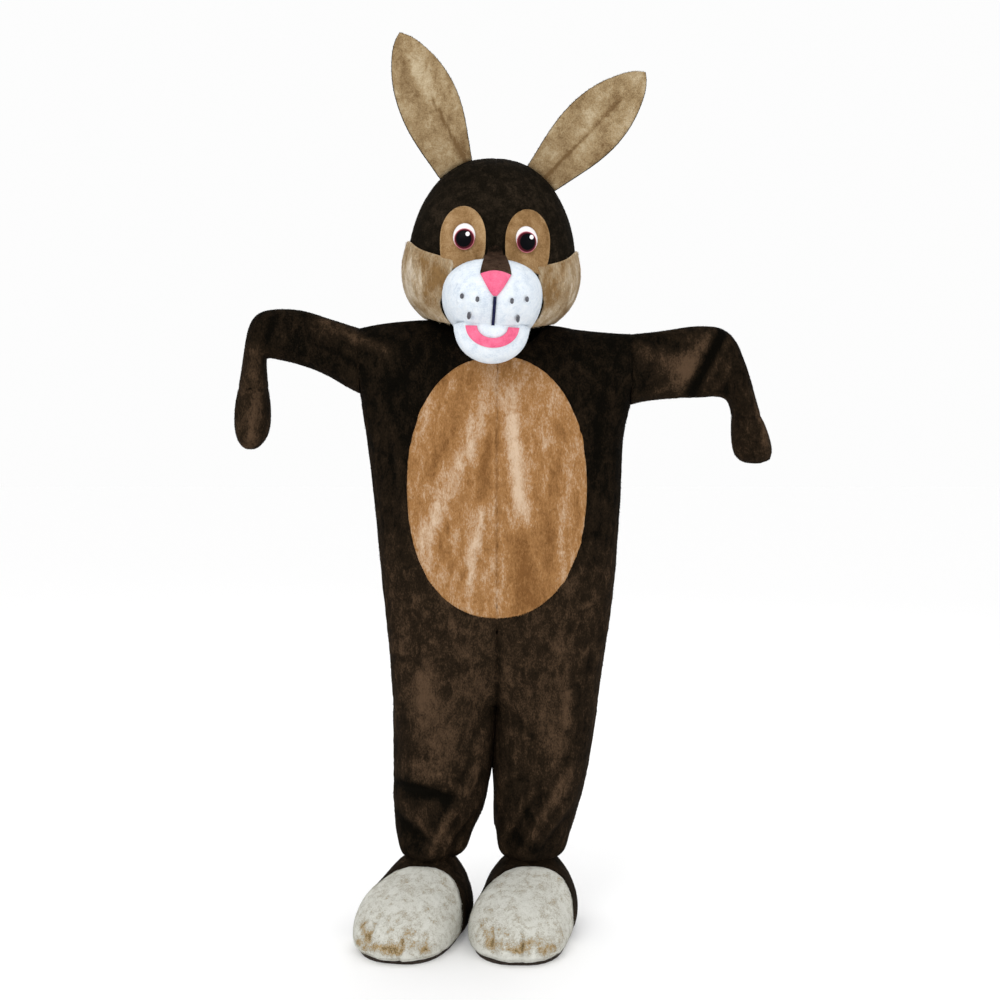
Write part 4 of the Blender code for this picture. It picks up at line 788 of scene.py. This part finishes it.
def pile(obj, spacing, length, width, comb, lean, seed, bare):
    """Blades on the outside of a piece, combed along a direction. None grow under what lies on it."""
    draw = np.random.default_rng(SEED + seed)
    roots, away, tone = scattered(obj.data, spacing, draw)
    count = len(roots)
    swirl = np.stack([noise_at(roots[::SWIRL_EVERY], SWIRL_SCALE, SWIRL_STEP * k) for k in range(3)], axis=1)
    swirl = np.repeat(swirl, SWIRL_EVERY, axis=0)[:count]
    direction = np.array(comb) + SWIRL * swirl + TUFTED * draw.normal(size=(count, 3))
    direction -= away * np.einsum("ij,ij->i", direction, away)[:, None]
    direction = unit(unit(direction) * lean + away * math.sqrt(1 - lean**2))
    side = unit(np.cross(direction, away) + SIDE_SPREAD * draw.normal(size=(count, 3)))
    long = length * (LENGTH_LEAST + LENGTH_SPREAD * draw.random(count))[:, None]
    if bare:
        kept = nearest(roots, bare)[1] > BARE_REACH
        roots, away, tone = roots[kept], away[kept], tone[kept]
        direction, side, long = direction[kept], side[kept], long[kept]
        count = len(roots)
    roots = roots - away * ROOT_SINK
    half = side * width / 2
    blades = np.stack((roots - half, roots + half, roots + direction * long), axis=1).reshape(-1, 3)
    made = bpy.data.meshes.new(obj.name + "_pile")
    made.vertices.add(len(blades))
    made.vertices.foreach_set("co", blades.astype(np.float32).ravel())
    made.loops.add(len(blades))
    made.loops.foreach_set("vertex_index", np.arange(len(blades), dtype=np.int32))
    made.polygons.add(count)
    made.polygons.foreach_set("loop_start", np.arange(0, len(blades), 3, dtype=np.int32))
    made.update(calc_edges=True)
    made.shade_smooth()
    facing = unit(away + direction * NORMAL_LEAN)
    made.normals_split_custom_set(np.repeat(facing, 3, axis=0).astype(np.float32))
    strand = draw.normal(size=count) * STRAND_SPREAD
    add_float(made, "tone", np.repeat(tone, 3))
    add_float(made, "strand", np.repeat(strand, 3) + np.tile(BLADE_PAINTED_SHADING, count))
    for material in obj.data.materials:
        made.materials.append(material)
    fur = bpy.data.objects.new(obj.name + "_pile", made)
    bpy.context.collection.objects.link(fur)
    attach(fur, "root")
    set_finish(fur, obj["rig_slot"])
    return fur


# Materials.
def set_inputs(node, values):
    for name, value in values.items():
        node.inputs[name].default_value = value


def new_node(tree, kind, inputs=None, **settings):
    node = tree.nodes.new(kind)
    for name, value in settings.items():
        setattr(node, name, value)
    set_inputs(node, inputs or {})
    return node


def calculated(tree, operation, one, two):
    """The result of a calculation on two values, each a number or the output of a node."""
    node = new_node(tree, "ShaderNodeMath", operation=operation)
    for number, value in enumerate((one, two)):
        if isinstance(value, (int, float)):
            node.inputs[number].default_value = value
        else:
            tree.links.new(value, node.inputs[number])
    return node.outputs[0]


FIBRES = {"Scale": 320.0, "Detail": 3.0, "Roughness": 0.7}
LOCKS = {"Scale": FIBRES["Scale"] / 6, "Detail": 5.0, "Distortion": 0.8}
RELIEF = {"Strength": 0.7, "Distance": 0.0012}
# How much the fibres, their locks, the tone (the nap's patches, with painted light and shade) and each
# blade's own strand, with its painted darker root and lighter tip, count in the colour.
COLOUR_SHARES = {"fibres": 0.9, "locks": 0.8, "tone": 0.38, "strand": 0.16}
# Where the dark, middle and light colours stand, and where a stain takes the dark colour's place.
STOPS = {"dark": 0.12, "base": 0.5, "light": 0.92}
STAIN_STOPS = {"dark": 0.34, "stain": 0.18, "deepest": 0.0}
STAIN_DEEPEST = 0.35


def plush(name, dark, base, light, sheen, specular, streak, stain):
    """A napped cloth: its colour follows its fibres and its tone, which holds the nap's patches and painted
    light and shade.

    Low tones take a stain's colour where one is given, in the painted shade of creases too.
    """
    material = bpy.data.materials.new(name)
    material.use_nodes = True
    tree = material.node_tree
    shader = tree.nodes["Principled BSDF"]
    place = new_node(tree, "ShaderNodeTexCoord")
    stretch = new_node(tree, "ShaderNodeMapping", {"Scale": streak})
    tree.links.new(place.outputs["Object"], stretch.inputs["Vector"])
    fibres = new_node(tree, "ShaderNodeTexNoise", FIBRES)
    locks = new_node(tree, "ShaderNodeTexNoise", LOCKS)
    for texture in (fibres, locks):
        tree.links.new(stretch.outputs["Vector"], texture.inputs["Vector"])
    tone = new_node(tree, "ShaderNodeAttribute", attribute_name="tone")
    strand = new_node(tree, "ShaderNodeAttribute", attribute_name="strand")
    math_node = partial(calculated, tree)
    total = 0.5
    for part, share in (
        (math_node("SUBTRACT", fibres.outputs["Fac"], 0.5), COLOUR_SHARES["fibres"]),
        (math_node("SUBTRACT", locks.outputs["Fac"], 0.5), COLOUR_SHARES["locks"]),
        (tone.outputs["Fac"], COLOUR_SHARES["tone"]),
        (strand.outputs["Fac"], COLOUR_SHARES["strand"]),
    ):
        total = math_node("ADD", total, math_node("MULTIPLY", part, share))
    ramp = new_node(tree, "ShaderNodeValToRGB")
    stops = ramp.color_ramp.elements
    stops[0].position = STOPS["dark"]
    stops[0].color = (*dark, 1)
    stops[1].position = STOPS["light"]
    stops[1].color = (*light, 1)
    stops.new(STOPS["base"]).color = (*base, 1)
    if stain:
        stops.new(STAIN_STOPS["dark"]).color = (*dark, 1)
        stops.new(STAIN_STOPS["stain"]).color = (*stain, 1)
        stops[0].position = STAIN_STOPS["deepest"]
        stops[0].color = (*[STAIN_DEEPEST * part for part in stain], 1)
    tree.links.new(total, ramp.inputs["Fac"])
    tree.links.new(ramp.outputs["Color"], shader.inputs["Base Color"])
    relief = new_node(tree, "ShaderNodeBump", RELIEF)
    height = math_node("ADD", fibres.outputs["Fac"], locks.outputs["Fac"])
    tree.links.new(height, relief.inputs["Height"])
    tree.links.new(relief.outputs["Normal"], shader.inputs["Normal"])
    shader.inputs["Roughness"].default_value = 0.93
    shader.inputs["Specular IOR Level"].default_value = specular
    shader.inputs["Sheen Weight"].default_value = sheen
    shader.inputs["Sheen Roughness"].default_value = 0.45
    shader.inputs["Sheen Tint"].default_value = (*light, 1)
    return material


# Dark, middle and light colour of each cloth, its sheen and how much its fibres shine.
PLUSH = {
    "brown_suit": ((0.0030, 0.0024, 0.0014), (0.0190, 0.0120, 0.0066), (0.0900, 0.0540, 0.0310), 0.015, 0.03),
    "brown_head": ((0.0030, 0.0024, 0.0015), (0.0088, 0.0066, 0.0040), (0.0360, 0.0250, 0.0160), 0.008, 0.02),
    "brown_bridge": ((0.007, 0.0052, 0.0034), (0.042, 0.024, 0.0155), (0.090, 0.056, 0.038), 0.008, 0.02),
    "belly": ((0.1850, 0.0800, 0.0230), (0.3550, 0.1780, 0.0640), (0.6200, 0.4600, 0.3200), 0.050, 0.12),
    "ear": ((0.1700, 0.1000, 0.0420), (0.3400, 0.2400, 0.1260), (0.5400, 0.4400, 0.2900), 0.050, 0.12),
    "cheek": ((0.2600, 0.1500, 0.0580), (0.4400, 0.3250, 0.1950), (0.7200, 0.6300, 0.5000), 0.050, 0.12),
    "eye_patch": ((0.1500, 0.0740, 0.0240), (0.2900, 0.1680, 0.0700), (0.4700, 0.3100, 0.1600), 0.040, 0.12),
    "white": ((0.5600, 0.6400, 0.7400), (0.7800, 0.8400, 0.9000), (0.9000, 0.9300, 0.9500), 0.050, 0.15),
    "foot": ((0.4300, 0.4050, 0.3400), (0.6100, 0.6050, 0.5450), (0.7400, 0.7350, 0.6800), 0.050, 0.15),
    "pink_felt": ((0.6800, 0.0800, 0.1800), (0.8300, 0.1450, 0.2650), (0.9000, 0.2200, 0.3500), 0.040, 0.15),
    "navy_felt": ((0.0050, 0.0060, 0.0250), (0.0100, 0.0110, 0.0450), (0.0300, 0.0340, 0.0900), 0.040, 0.15),
    "grey_felt": ((0.0500, 0.0500, 0.0600), (0.1100, 0.1100, 0.1250), (0.2200, 0.2200, 0.2400), 0.040, 0.15),
    "sole": ((0.0120, 0.0090, 0.0070), (0.0400, 0.0300, 0.0240), (0.0800, 0.0640, 0.0520), 0.030, 0.15),
}
PLAIN_STREAK = (1.0, 1.0, 1.0)
STREAKS = {"belly": (1.0, 1.0, 0.45), "cheek": (1.0, 1.0, 0.35), "brown_suit": (1.0, 1.0, 0.6)}
STAINS = {"foot": (0.3900, 0.2750, 0.1300)}
MATERIALS = {
    name: plush(name, *values, STREAKS.get(name, PLAIN_STREAK), STAINS.get(name))
    for name, values in PLUSH.items()
}


SPECKLE = {"Scale": 260.0, "Detail": 2.0}
SPECKLE_DARK, SPECKLE_LIGHT = 0.85, 1.12
RIM_FROM, RIM_FULL = 0.90, 0.97


def gloss(name, colour, specular, rim=None, centre=None, radius=None):
    """A glossy moulded surface, with a ring of another colour at its edge where one is given."""
    material = bpy.data.materials.new(name)
    material.use_nodes = True
    tree = material.node_tree
    shader = tree.nodes["Principled BSDF"]
    place = new_node(tree, "ShaderNodeTexCoord")
    speckle = new_node(tree, "ShaderNodeTexNoise", SPECKLE)
    tree.links.new(place.outputs["Object"], speckle.inputs["Vector"])
    ramp = new_node(tree, "ShaderNodeValToRGB")
    stops = ramp.color_ramp.elements
    stops[0].color = (*[SPECKLE_DARK * part for part in colour], 1)
    stops[1].color = (*[min(1.0, SPECKLE_LIGHT * part) for part in colour], 1)
    tree.links.new(speckle.outputs["Fac"], ramp.inputs["Fac"])
    result = ramp.outputs["Color"]
    if rim:
        far = new_node(tree, "ShaderNodeVectorMath", operation="DISTANCE")
        tree.links.new(place.outputs["Object"], far.inputs[0])
        far.inputs[1].default_value = centre
        band = {"From Min": radius * RIM_FROM, "From Max": radius * RIM_FULL}
        edge = new_node(tree, "ShaderNodeMapRange", band)
        tree.links.new(far.outputs["Value"], edge.inputs["Value"])
        blend = new_node(tree, "ShaderNodeMix", data_type="RGBA")
        tree.links.new(edge.outputs["Result"], blend.inputs["Factor"])
        tree.links.new(result, blend.inputs["A"])
        blend.inputs["B"].default_value = (*rim, 1)
        result = blend.outputs["Result"]
    tree.links.new(result, shader.inputs["Base Color"])
    shader.inputs["Roughness"].default_value = 0.28
    shader.inputs["Specular IOR Level"].default_value = specular
    return material


def grown(points, factor):
    """Points moved out from their middle, by one factor or by one for each axis."""
    middle = (points.min(axis=0) + points.max(axis=0)) / 2
    return middle + (points - middle) * np.array(factor)


def dress(obj, material, slot):
    obj.data.materials.clear()
    obj.data.materials.append(material)
    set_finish(obj, slot)
    return obj


# Each patch of tone: the scale of its noise for each axis, and its strength.
SUIT_PATCHES = (((5.0, 5.0, 3.0), 0.30), ((16.0, 16.0, 9.0), 0.22), ((45.0, 45.0, 30.0), 0.22))
HEAD_PATCHES = (((9.0, 9.0, 9.0), 0.40), ((40.0, 40.0, 40.0), 0.25))
BEIGE_PATCHES = (((22.0, 22.0, 14.0), 0.75), ((60.0, 60.0, 30.0), 0.55))
CHEEK_PATCHES = (((38.0, 38.0, 12.0), 0.75), ((90.0, 90.0, 26.0), 0.60))
BELLY_PATCHES = (((20.0, 20.0, 4.5), 0.38), ((60.0, 60.0, 14.0), 0.32))
WHITE_PATCHES = (((30.0, 30.0, 30.0), 0.35), ((110.0, 110.0, 110.0), 0.35))
FOOT_PATCHES = (((16.0, 16.0, 16.0), 0.18), ((60.0, 60.0, 60.0), 0.22))

# How each kind of piece is worked, in metres: its creases, waves, sunk seams and gathers.
FORMS = {
    "suit": {"folds": BODY_FOLDS, "waviness": 0.0022, "groove": 0.0014},
    "belly": {
        "folds": BODY_FOLDS,
        "waviness": 0.0022,
        "groove": 0.0008,
        "groove_width": 0.004,
        "pucker": 0.0030,
    },
    "arm": {"folds": BODY_FOLDS, "waviness": 0.0018, "groove": 0.0008},
    "boot_upper": {"waviness": 0.0010, "groove": 0.0012},
    "boot_vamp": {"folds": BOOT_FOLDS, "waviness": 0.0012, "groove": 0.0012, "pucker": 0.0016},
    "head_shell": {"waviness": 0.0012, "groove": 0.0010},
    "face": {"waviness": 0.0012, "groove": 0.0008, "groove_width": 0.004},
    "ear": {"waviness": 0.0008},
    "thin": {"levels": 1},
    "plain": {},
}
pieces = {}


def finish_piece(piece, node, finish, slot, **tone):
    dress(piece, MATERIALS[finish], slot)
    set_tone(piece, **tone)
    pieces[node] = piece


def make_piece(node, form, finish, slot, core=None, reform=None, **tone):
    """A piece of plush, felt or foam, made in the place of its node."""
    finish_piece(shaped(node, core, reform=reform, **FORMS[form]), node, finish, slot, **tone)


EYE_SIZES = {"white": (1.08, 1.0, 1.22), "iris": (1.17, 1.0, 1.17), "pupil": (1.36, 1.0, 1.40)}
EYE_TURN = (0.0020, -0.0022, -0.0042)
GLINT_SIZE = 0.27
GLINT_PLACE = np.array((0.0088, -0.0034, 0.0098))
# Colour of each part of an eye and how much it shines.
EYE_COLOURS = {
    "white": ((0.88, 0.84, 0.85), 0.25),
    "iris": ((0.070, 0.004, 0.010), 0.10),
    "pupil": ((0.002, 0.002, 0.003), 0.04),
    "glint": ((0.92, 0.92, 0.94), 0.25),
}
IRIS_RIM = (0.62, 0.18, 0.22)


def turned(points, size, sign):
    """An iris or a pupil, made larger and turned to look forward and a little down."""
    return grown(points, size) + np.array(EYE_TURN) * (-sign, 1.0, 1.0)


def make_eye(side, sign):
    """The white, iris and pupil of one eye, and a glint on it."""
    white = shaped("eye_white_" + side, reform=partial(grown, factor=EYE_SIZES["white"]))
    dress(white, gloss("eye_white_" + side, *EYE_COLOURS["white"]), "eye_white")
    iris = shaped("eye_iris_" + side, reform=partial(turned, size=EYE_SIZES["iris"], sign=sign))
    points = read_points(iris.data)
    low, high = points.min(axis=0), points.max(axis=0)
    radius = (high[2] - low[2]) / 2
    look = gloss("eye_iris_" + side, *EYE_COLOURS["iris"], IRIS_RIM, (low + high) / 2, radius)
    dress(iris, look, "eye_iris")
    pupil = shaped("eye_pupil_" + side, reform=partial(turned, size=EYE_SIZES["pupil"], sign=sign))
    dress(pupil, gloss("eye_pupil_" + side, *EYE_COLOURS["pupil"]), "eye_pupil")
    glint = pupil.copy()
    glint.data = pupil.data.copy()
    glint.name = "eye_glint_" + side
    glint.data.name = glint.name
    bpy.context.collection.objects.link(glint)
    write_points(glint.data, grown(read_points(glint.data), GLINT_SIZE) + GLINT_PLACE)
    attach(glint, "root")
    dress(glint, gloss("eye_glint_" + side, *EYE_COLOURS["glint"]), "eye_white")


DOT_SIZE = (1.3, 1.3, 1.6)
EAR_BACK_PROUD = 0.0016


def dotted(points):
    return hung(grown(points, DOT_SIZE))


def make_suit(side, sign):
    for facing, table in (("front", SUIT_TONES), ("back", ())):
        make_piece(
            f"suit_{facing}_{side}",
            "suit",
            "brown_suit",
            "brown_plush",
            body_core,
            partial(pressed, sign=sign),
            patches=SUIT_PATCHES,
            table=table,
            heights=SUIT_HEIGHTS,
        )
    belly = {"patches": BELLY_PATCHES, "table": BELLY_TONES}
    make_piece("belly_patch_" + side, "belly", "belly", "belly_plush", body_core, **belly)
    arm = {"patches": SUIT_PATCHES, "table": SUIT_TONES, "heights": SLEEVE_HEIGHTS}
    arm_core = partial(line_core, line=ARM_LINES[side])
    for kind in ("sleeve", "mitt"):
        make_piece(f"{kind}_{side}", "arm", "brown_suit", "brown_plush", arm_core, **arm)


def make_boot(side):
    core = partial(boot_core, side=side)
    stand = partial(stood, side=side)
    upper = {"patches": SUIT_PATCHES, "heights": SUIT_HEIGHTS}
    make_piece("boot_upper_" + side, "boot_upper", "brown_suit", "brown_plush", core, stand, **upper)
    vamp = {"patches": FOOT_PATCHES, "table": FOOT_TONES, "front_only": False, "edge": 0.45}
    make_piece("boot_vamp_" + side, "boot_vamp", "foot", "foot_plush", core, stand, **vamp)
    make_piece("boot_sole_" + side, "thin", "sole", "sole_foam", reform=stand)


def make_half_head(side):
    for facing in ("front", "back"):
        node = f"head_shell_{facing}_{side}"
        make_piece(node, "head_shell", "brown_head", "brown_plush", head_core, patches=HEAD_PATCHES)
    cheek = {"patches": CHEEK_PATCHES, "table": CHEEK_TONES, "front_only": False}
    make_piece("head_cheek_" + side, "face", "cheek", "cheek_plush", head_core, drawn_in, **cheek)
    patch = {"patches": BEIGE_PATCHES, "edge": 0.5}
    make_piece("head_eye_patch_" + side, "face", "eye_patch", "patch_plush", head_core, arched, **patch)
    muzzle = {"patches": WHITE_PATCHES}
    make_piece("head_muzzle_" + side, "face", "white", "white_plush", head_core, hung, **muzzle)
    make_piece("ear_front_" + side, "ear", "ear", "ear_plush", patches=BEIGE_PATCHES, table=EAR_TONES)
    back = shaped("ear_back_" + side, **FORMS["ear"])
    write_points(back.data, read_points(back.data) + EAR_BACK_PROUD * read_normals(back.data))
    finish_piece(back, "ear_back_" + side, "brown_head", "brown_plush", patches=BEIGE_PATCHES)
    for number in (1, 2, 3):
        make_piece(f"whisker_dot_{side}_{number}", "thin", "grey_felt", "grey_felt", reform=dotted)


for side, sign in SIDES.items():
    make_suit(side, sign)
    make_boot(side)
    make_half_head(side)
    make_eye(side, sign)

bridge = {"patches": WHITE_PATCHES, "heights": BRIDGE_HEIGHTS}
make_piece("head_bridge", "plain", "brown_bridge", "brown_plush", head_core, laid, **bridge)
make_piece("head_jaw", "plain", "white", "white_plush", head_core, raised, patches=WHITE_PATCHES)
make_piece("nose", "plain", "pink_felt", "pink_felt", patches=WHITE_PATCHES)
make_piece("mouth_lip", "plain", "pink_felt", "pink_felt", reform=raised, patches=WHITE_PATCHES)
make_piece("philtrum", "plain", "navy_felt", "navy_felt", reform=hung, patches=WHITE_PATCHES)

# The pile of each piece: how far apart its blades stand, how long and wide they are, and their comb.
DOWN = (0.0, 0.0, -1.0)
PILE_COLUMNS = ("spacing", "length", "width", "comb", "lean")
PILES = {
    "suit_front": (0.0024, 0.0052, 0.0012, DOWN, 0.95),
    "suit_back": (0.0026, 0.0052, 0.0013, DOWN, 0.95),
    "belly_patch": (0.0021, 0.0042, 0.0010, DOWN, 0.96),
    "sleeve": (0.0024, 0.0052, 0.0012, DOWN, 0.95),
    "mitt": (0.0024, 0.0052, 0.0012, DOWN, 0.95),
    "boot_upper": (0.0026, 0.0050, 0.0012, DOWN, 0.95),
    "boot_vamp": (0.0020, 0.0040, 0.0010, (0.0, -0.6, -0.6), 0.93),
    "head_shell_front": (0.0024, 0.0048, 0.0012, (0.0, 0.5, -0.8), 0.95),
    "head_shell_back": (0.0026, 0.0048, 0.0013, DOWN, 0.95),
    "head_cheek": (0.0020, 0.0070, 0.0010, (0.0, 0.2, -1.0), 0.94),
    "head_eye_patch": (0.0018, 0.0034, 0.0009, (0.0, 0.0, -1.0), 0.95),
    "head_muzzle": (0.0018, 0.0034, 0.0009, (0.0, 0.2, -0.6), 0.93),
    "ear_front": (0.0020, 0.0040, 0.0010, (0.0, 0.0, 1.0), 0.95),
    "ear_back": (0.0028, 0.0046, 0.0012, (0.0, 0.0, 1.0), 0.95),
    "head_jaw": (0.0018, 0.0034, 0.0009, DOWN, 0.93),
    "head_bridge": (0.0020, 0.0038, 0.0010, DOWN, 0.95),
}
# Pieces that lie on each kind of piece, where its pile is clipped away.
ON_TOP = {
    "head_muzzle": ("nose", "philtrum", "whisker_dot", "head_bridge"),
    "head_jaw": ("mouth_lip", "head_muzzle"),
    "head_eye_patch": ("eye_white", "head_muzzle"),
    "head_shell_front": ("head_eye_patch", "head_cheek", "head_muzzle", "head_bridge", "ear_"),
    "head_cheek": ("head_muzzle",),
    "suit_front": ("belly_patch",),
}


def overlays(kind):
    """Points of the solids that lie on a kind of piece."""
    found = []
    for node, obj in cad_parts.items():
        if node.startswith(ON_TOP.get(kind, ())):
            found += [tuple(v.co) for v in obj.data.vertices]
            found += [tuple(p.center) for p in obj.data.polygons]
    return found


def kind_of(name):
    return name.replace("_right", "").replace("_left", "")


for number, (name, piece) in enumerate(sorted(pieces.items())):
    kind = kind_of(name)
    if kind in PILES:
        row = dict(zip(PILE_COLUMNS, PILES[kind]))
        pile(piece, **row, seed=number, bare=overlays(kind))

for name, piece in pieces.items():
    kind = kind_of(name)

# Stage, lights and camera.
FLOOR_SIZE = 24.0
FLOOR_BEHIND = 4.0
FLOOR_LOOK = {
    "Base Color": (0.86, 0.86, 0.86, 1),
    "Roughness": 0.9,
    "Emission Color": (1.0, 1.0, 1.0, 1),
    "Emission Strength": 0.13,
}
STUDIO = {"Color": (1.0, 1.0, 1.0, 1), "Strength": 0.98}
LAMP_AIM = Vector((0.0, 0.0, -0.3))
LAMP_COLUMNS = ("name", "place", "power", "size")
LAMPS = (
    ("key", (-1.6, -3.4, 1.9), 38.0, 1.8),
    ("fill", (2.4, -2.8, 0.9), 12.0, 2.2),
    ("back_rim", (0.8, 2.6, 2.2), 24.0, 1.8),
)

bpy.ops.mesh.primitive_plane_add(size=FLOOR_SIZE, location=(0.0, FLOOR_BEHIND, FLOOR))
floor = bpy.context.object
floor.name = "floor"
pale = bpy.data.materials.new("floor")
pale.use_nodes = True
set_inputs(pale.node_tree.nodes["Principled BSDF"], FLOOR_LOOK)
floor.data.materials.append(pale)

world = bpy.data.worlds.new("studio")
world.use_nodes = True
set_inputs(world.node_tree.nodes["Background"], STUDIO)
bpy.context.scene.world = world
bpy.context.scene.view_settings.view_transform = "Standard"

for values in LAMPS:
    row = dict(zip(LAMP_COLUMNS, values))
    lamp = bpy.data.lights.new(row["name"], "AREA")
    lamp.energy = row["power"]
    lamp.size = row["size"]
    lamp_object = bpy.data.objects.new(row["name"], lamp)
    lamp_object.location = row["place"]
    aim = LAMP_AIM - Vector(row["place"])
    lamp_object.rotation_euler = aim.to_track_quat("-Z", "Y").to_euler()
    bpy.context.collection.objects.link(lamp_object)

camera = bpy.data.cameras.new("camera")
camera.lens = LENS
camera.sensor_width = SENSOR
camera_object = bpy.data.objects.new("camera", camera)
camera_object.location = CAMERA
camera_object.rotation_euler = (math.pi / 2 + CAMERA_TILT, 0.0, 0.0)
bpy.context.collection.objects.link(camera_object)
bpy.context.scene.camera = camera_object
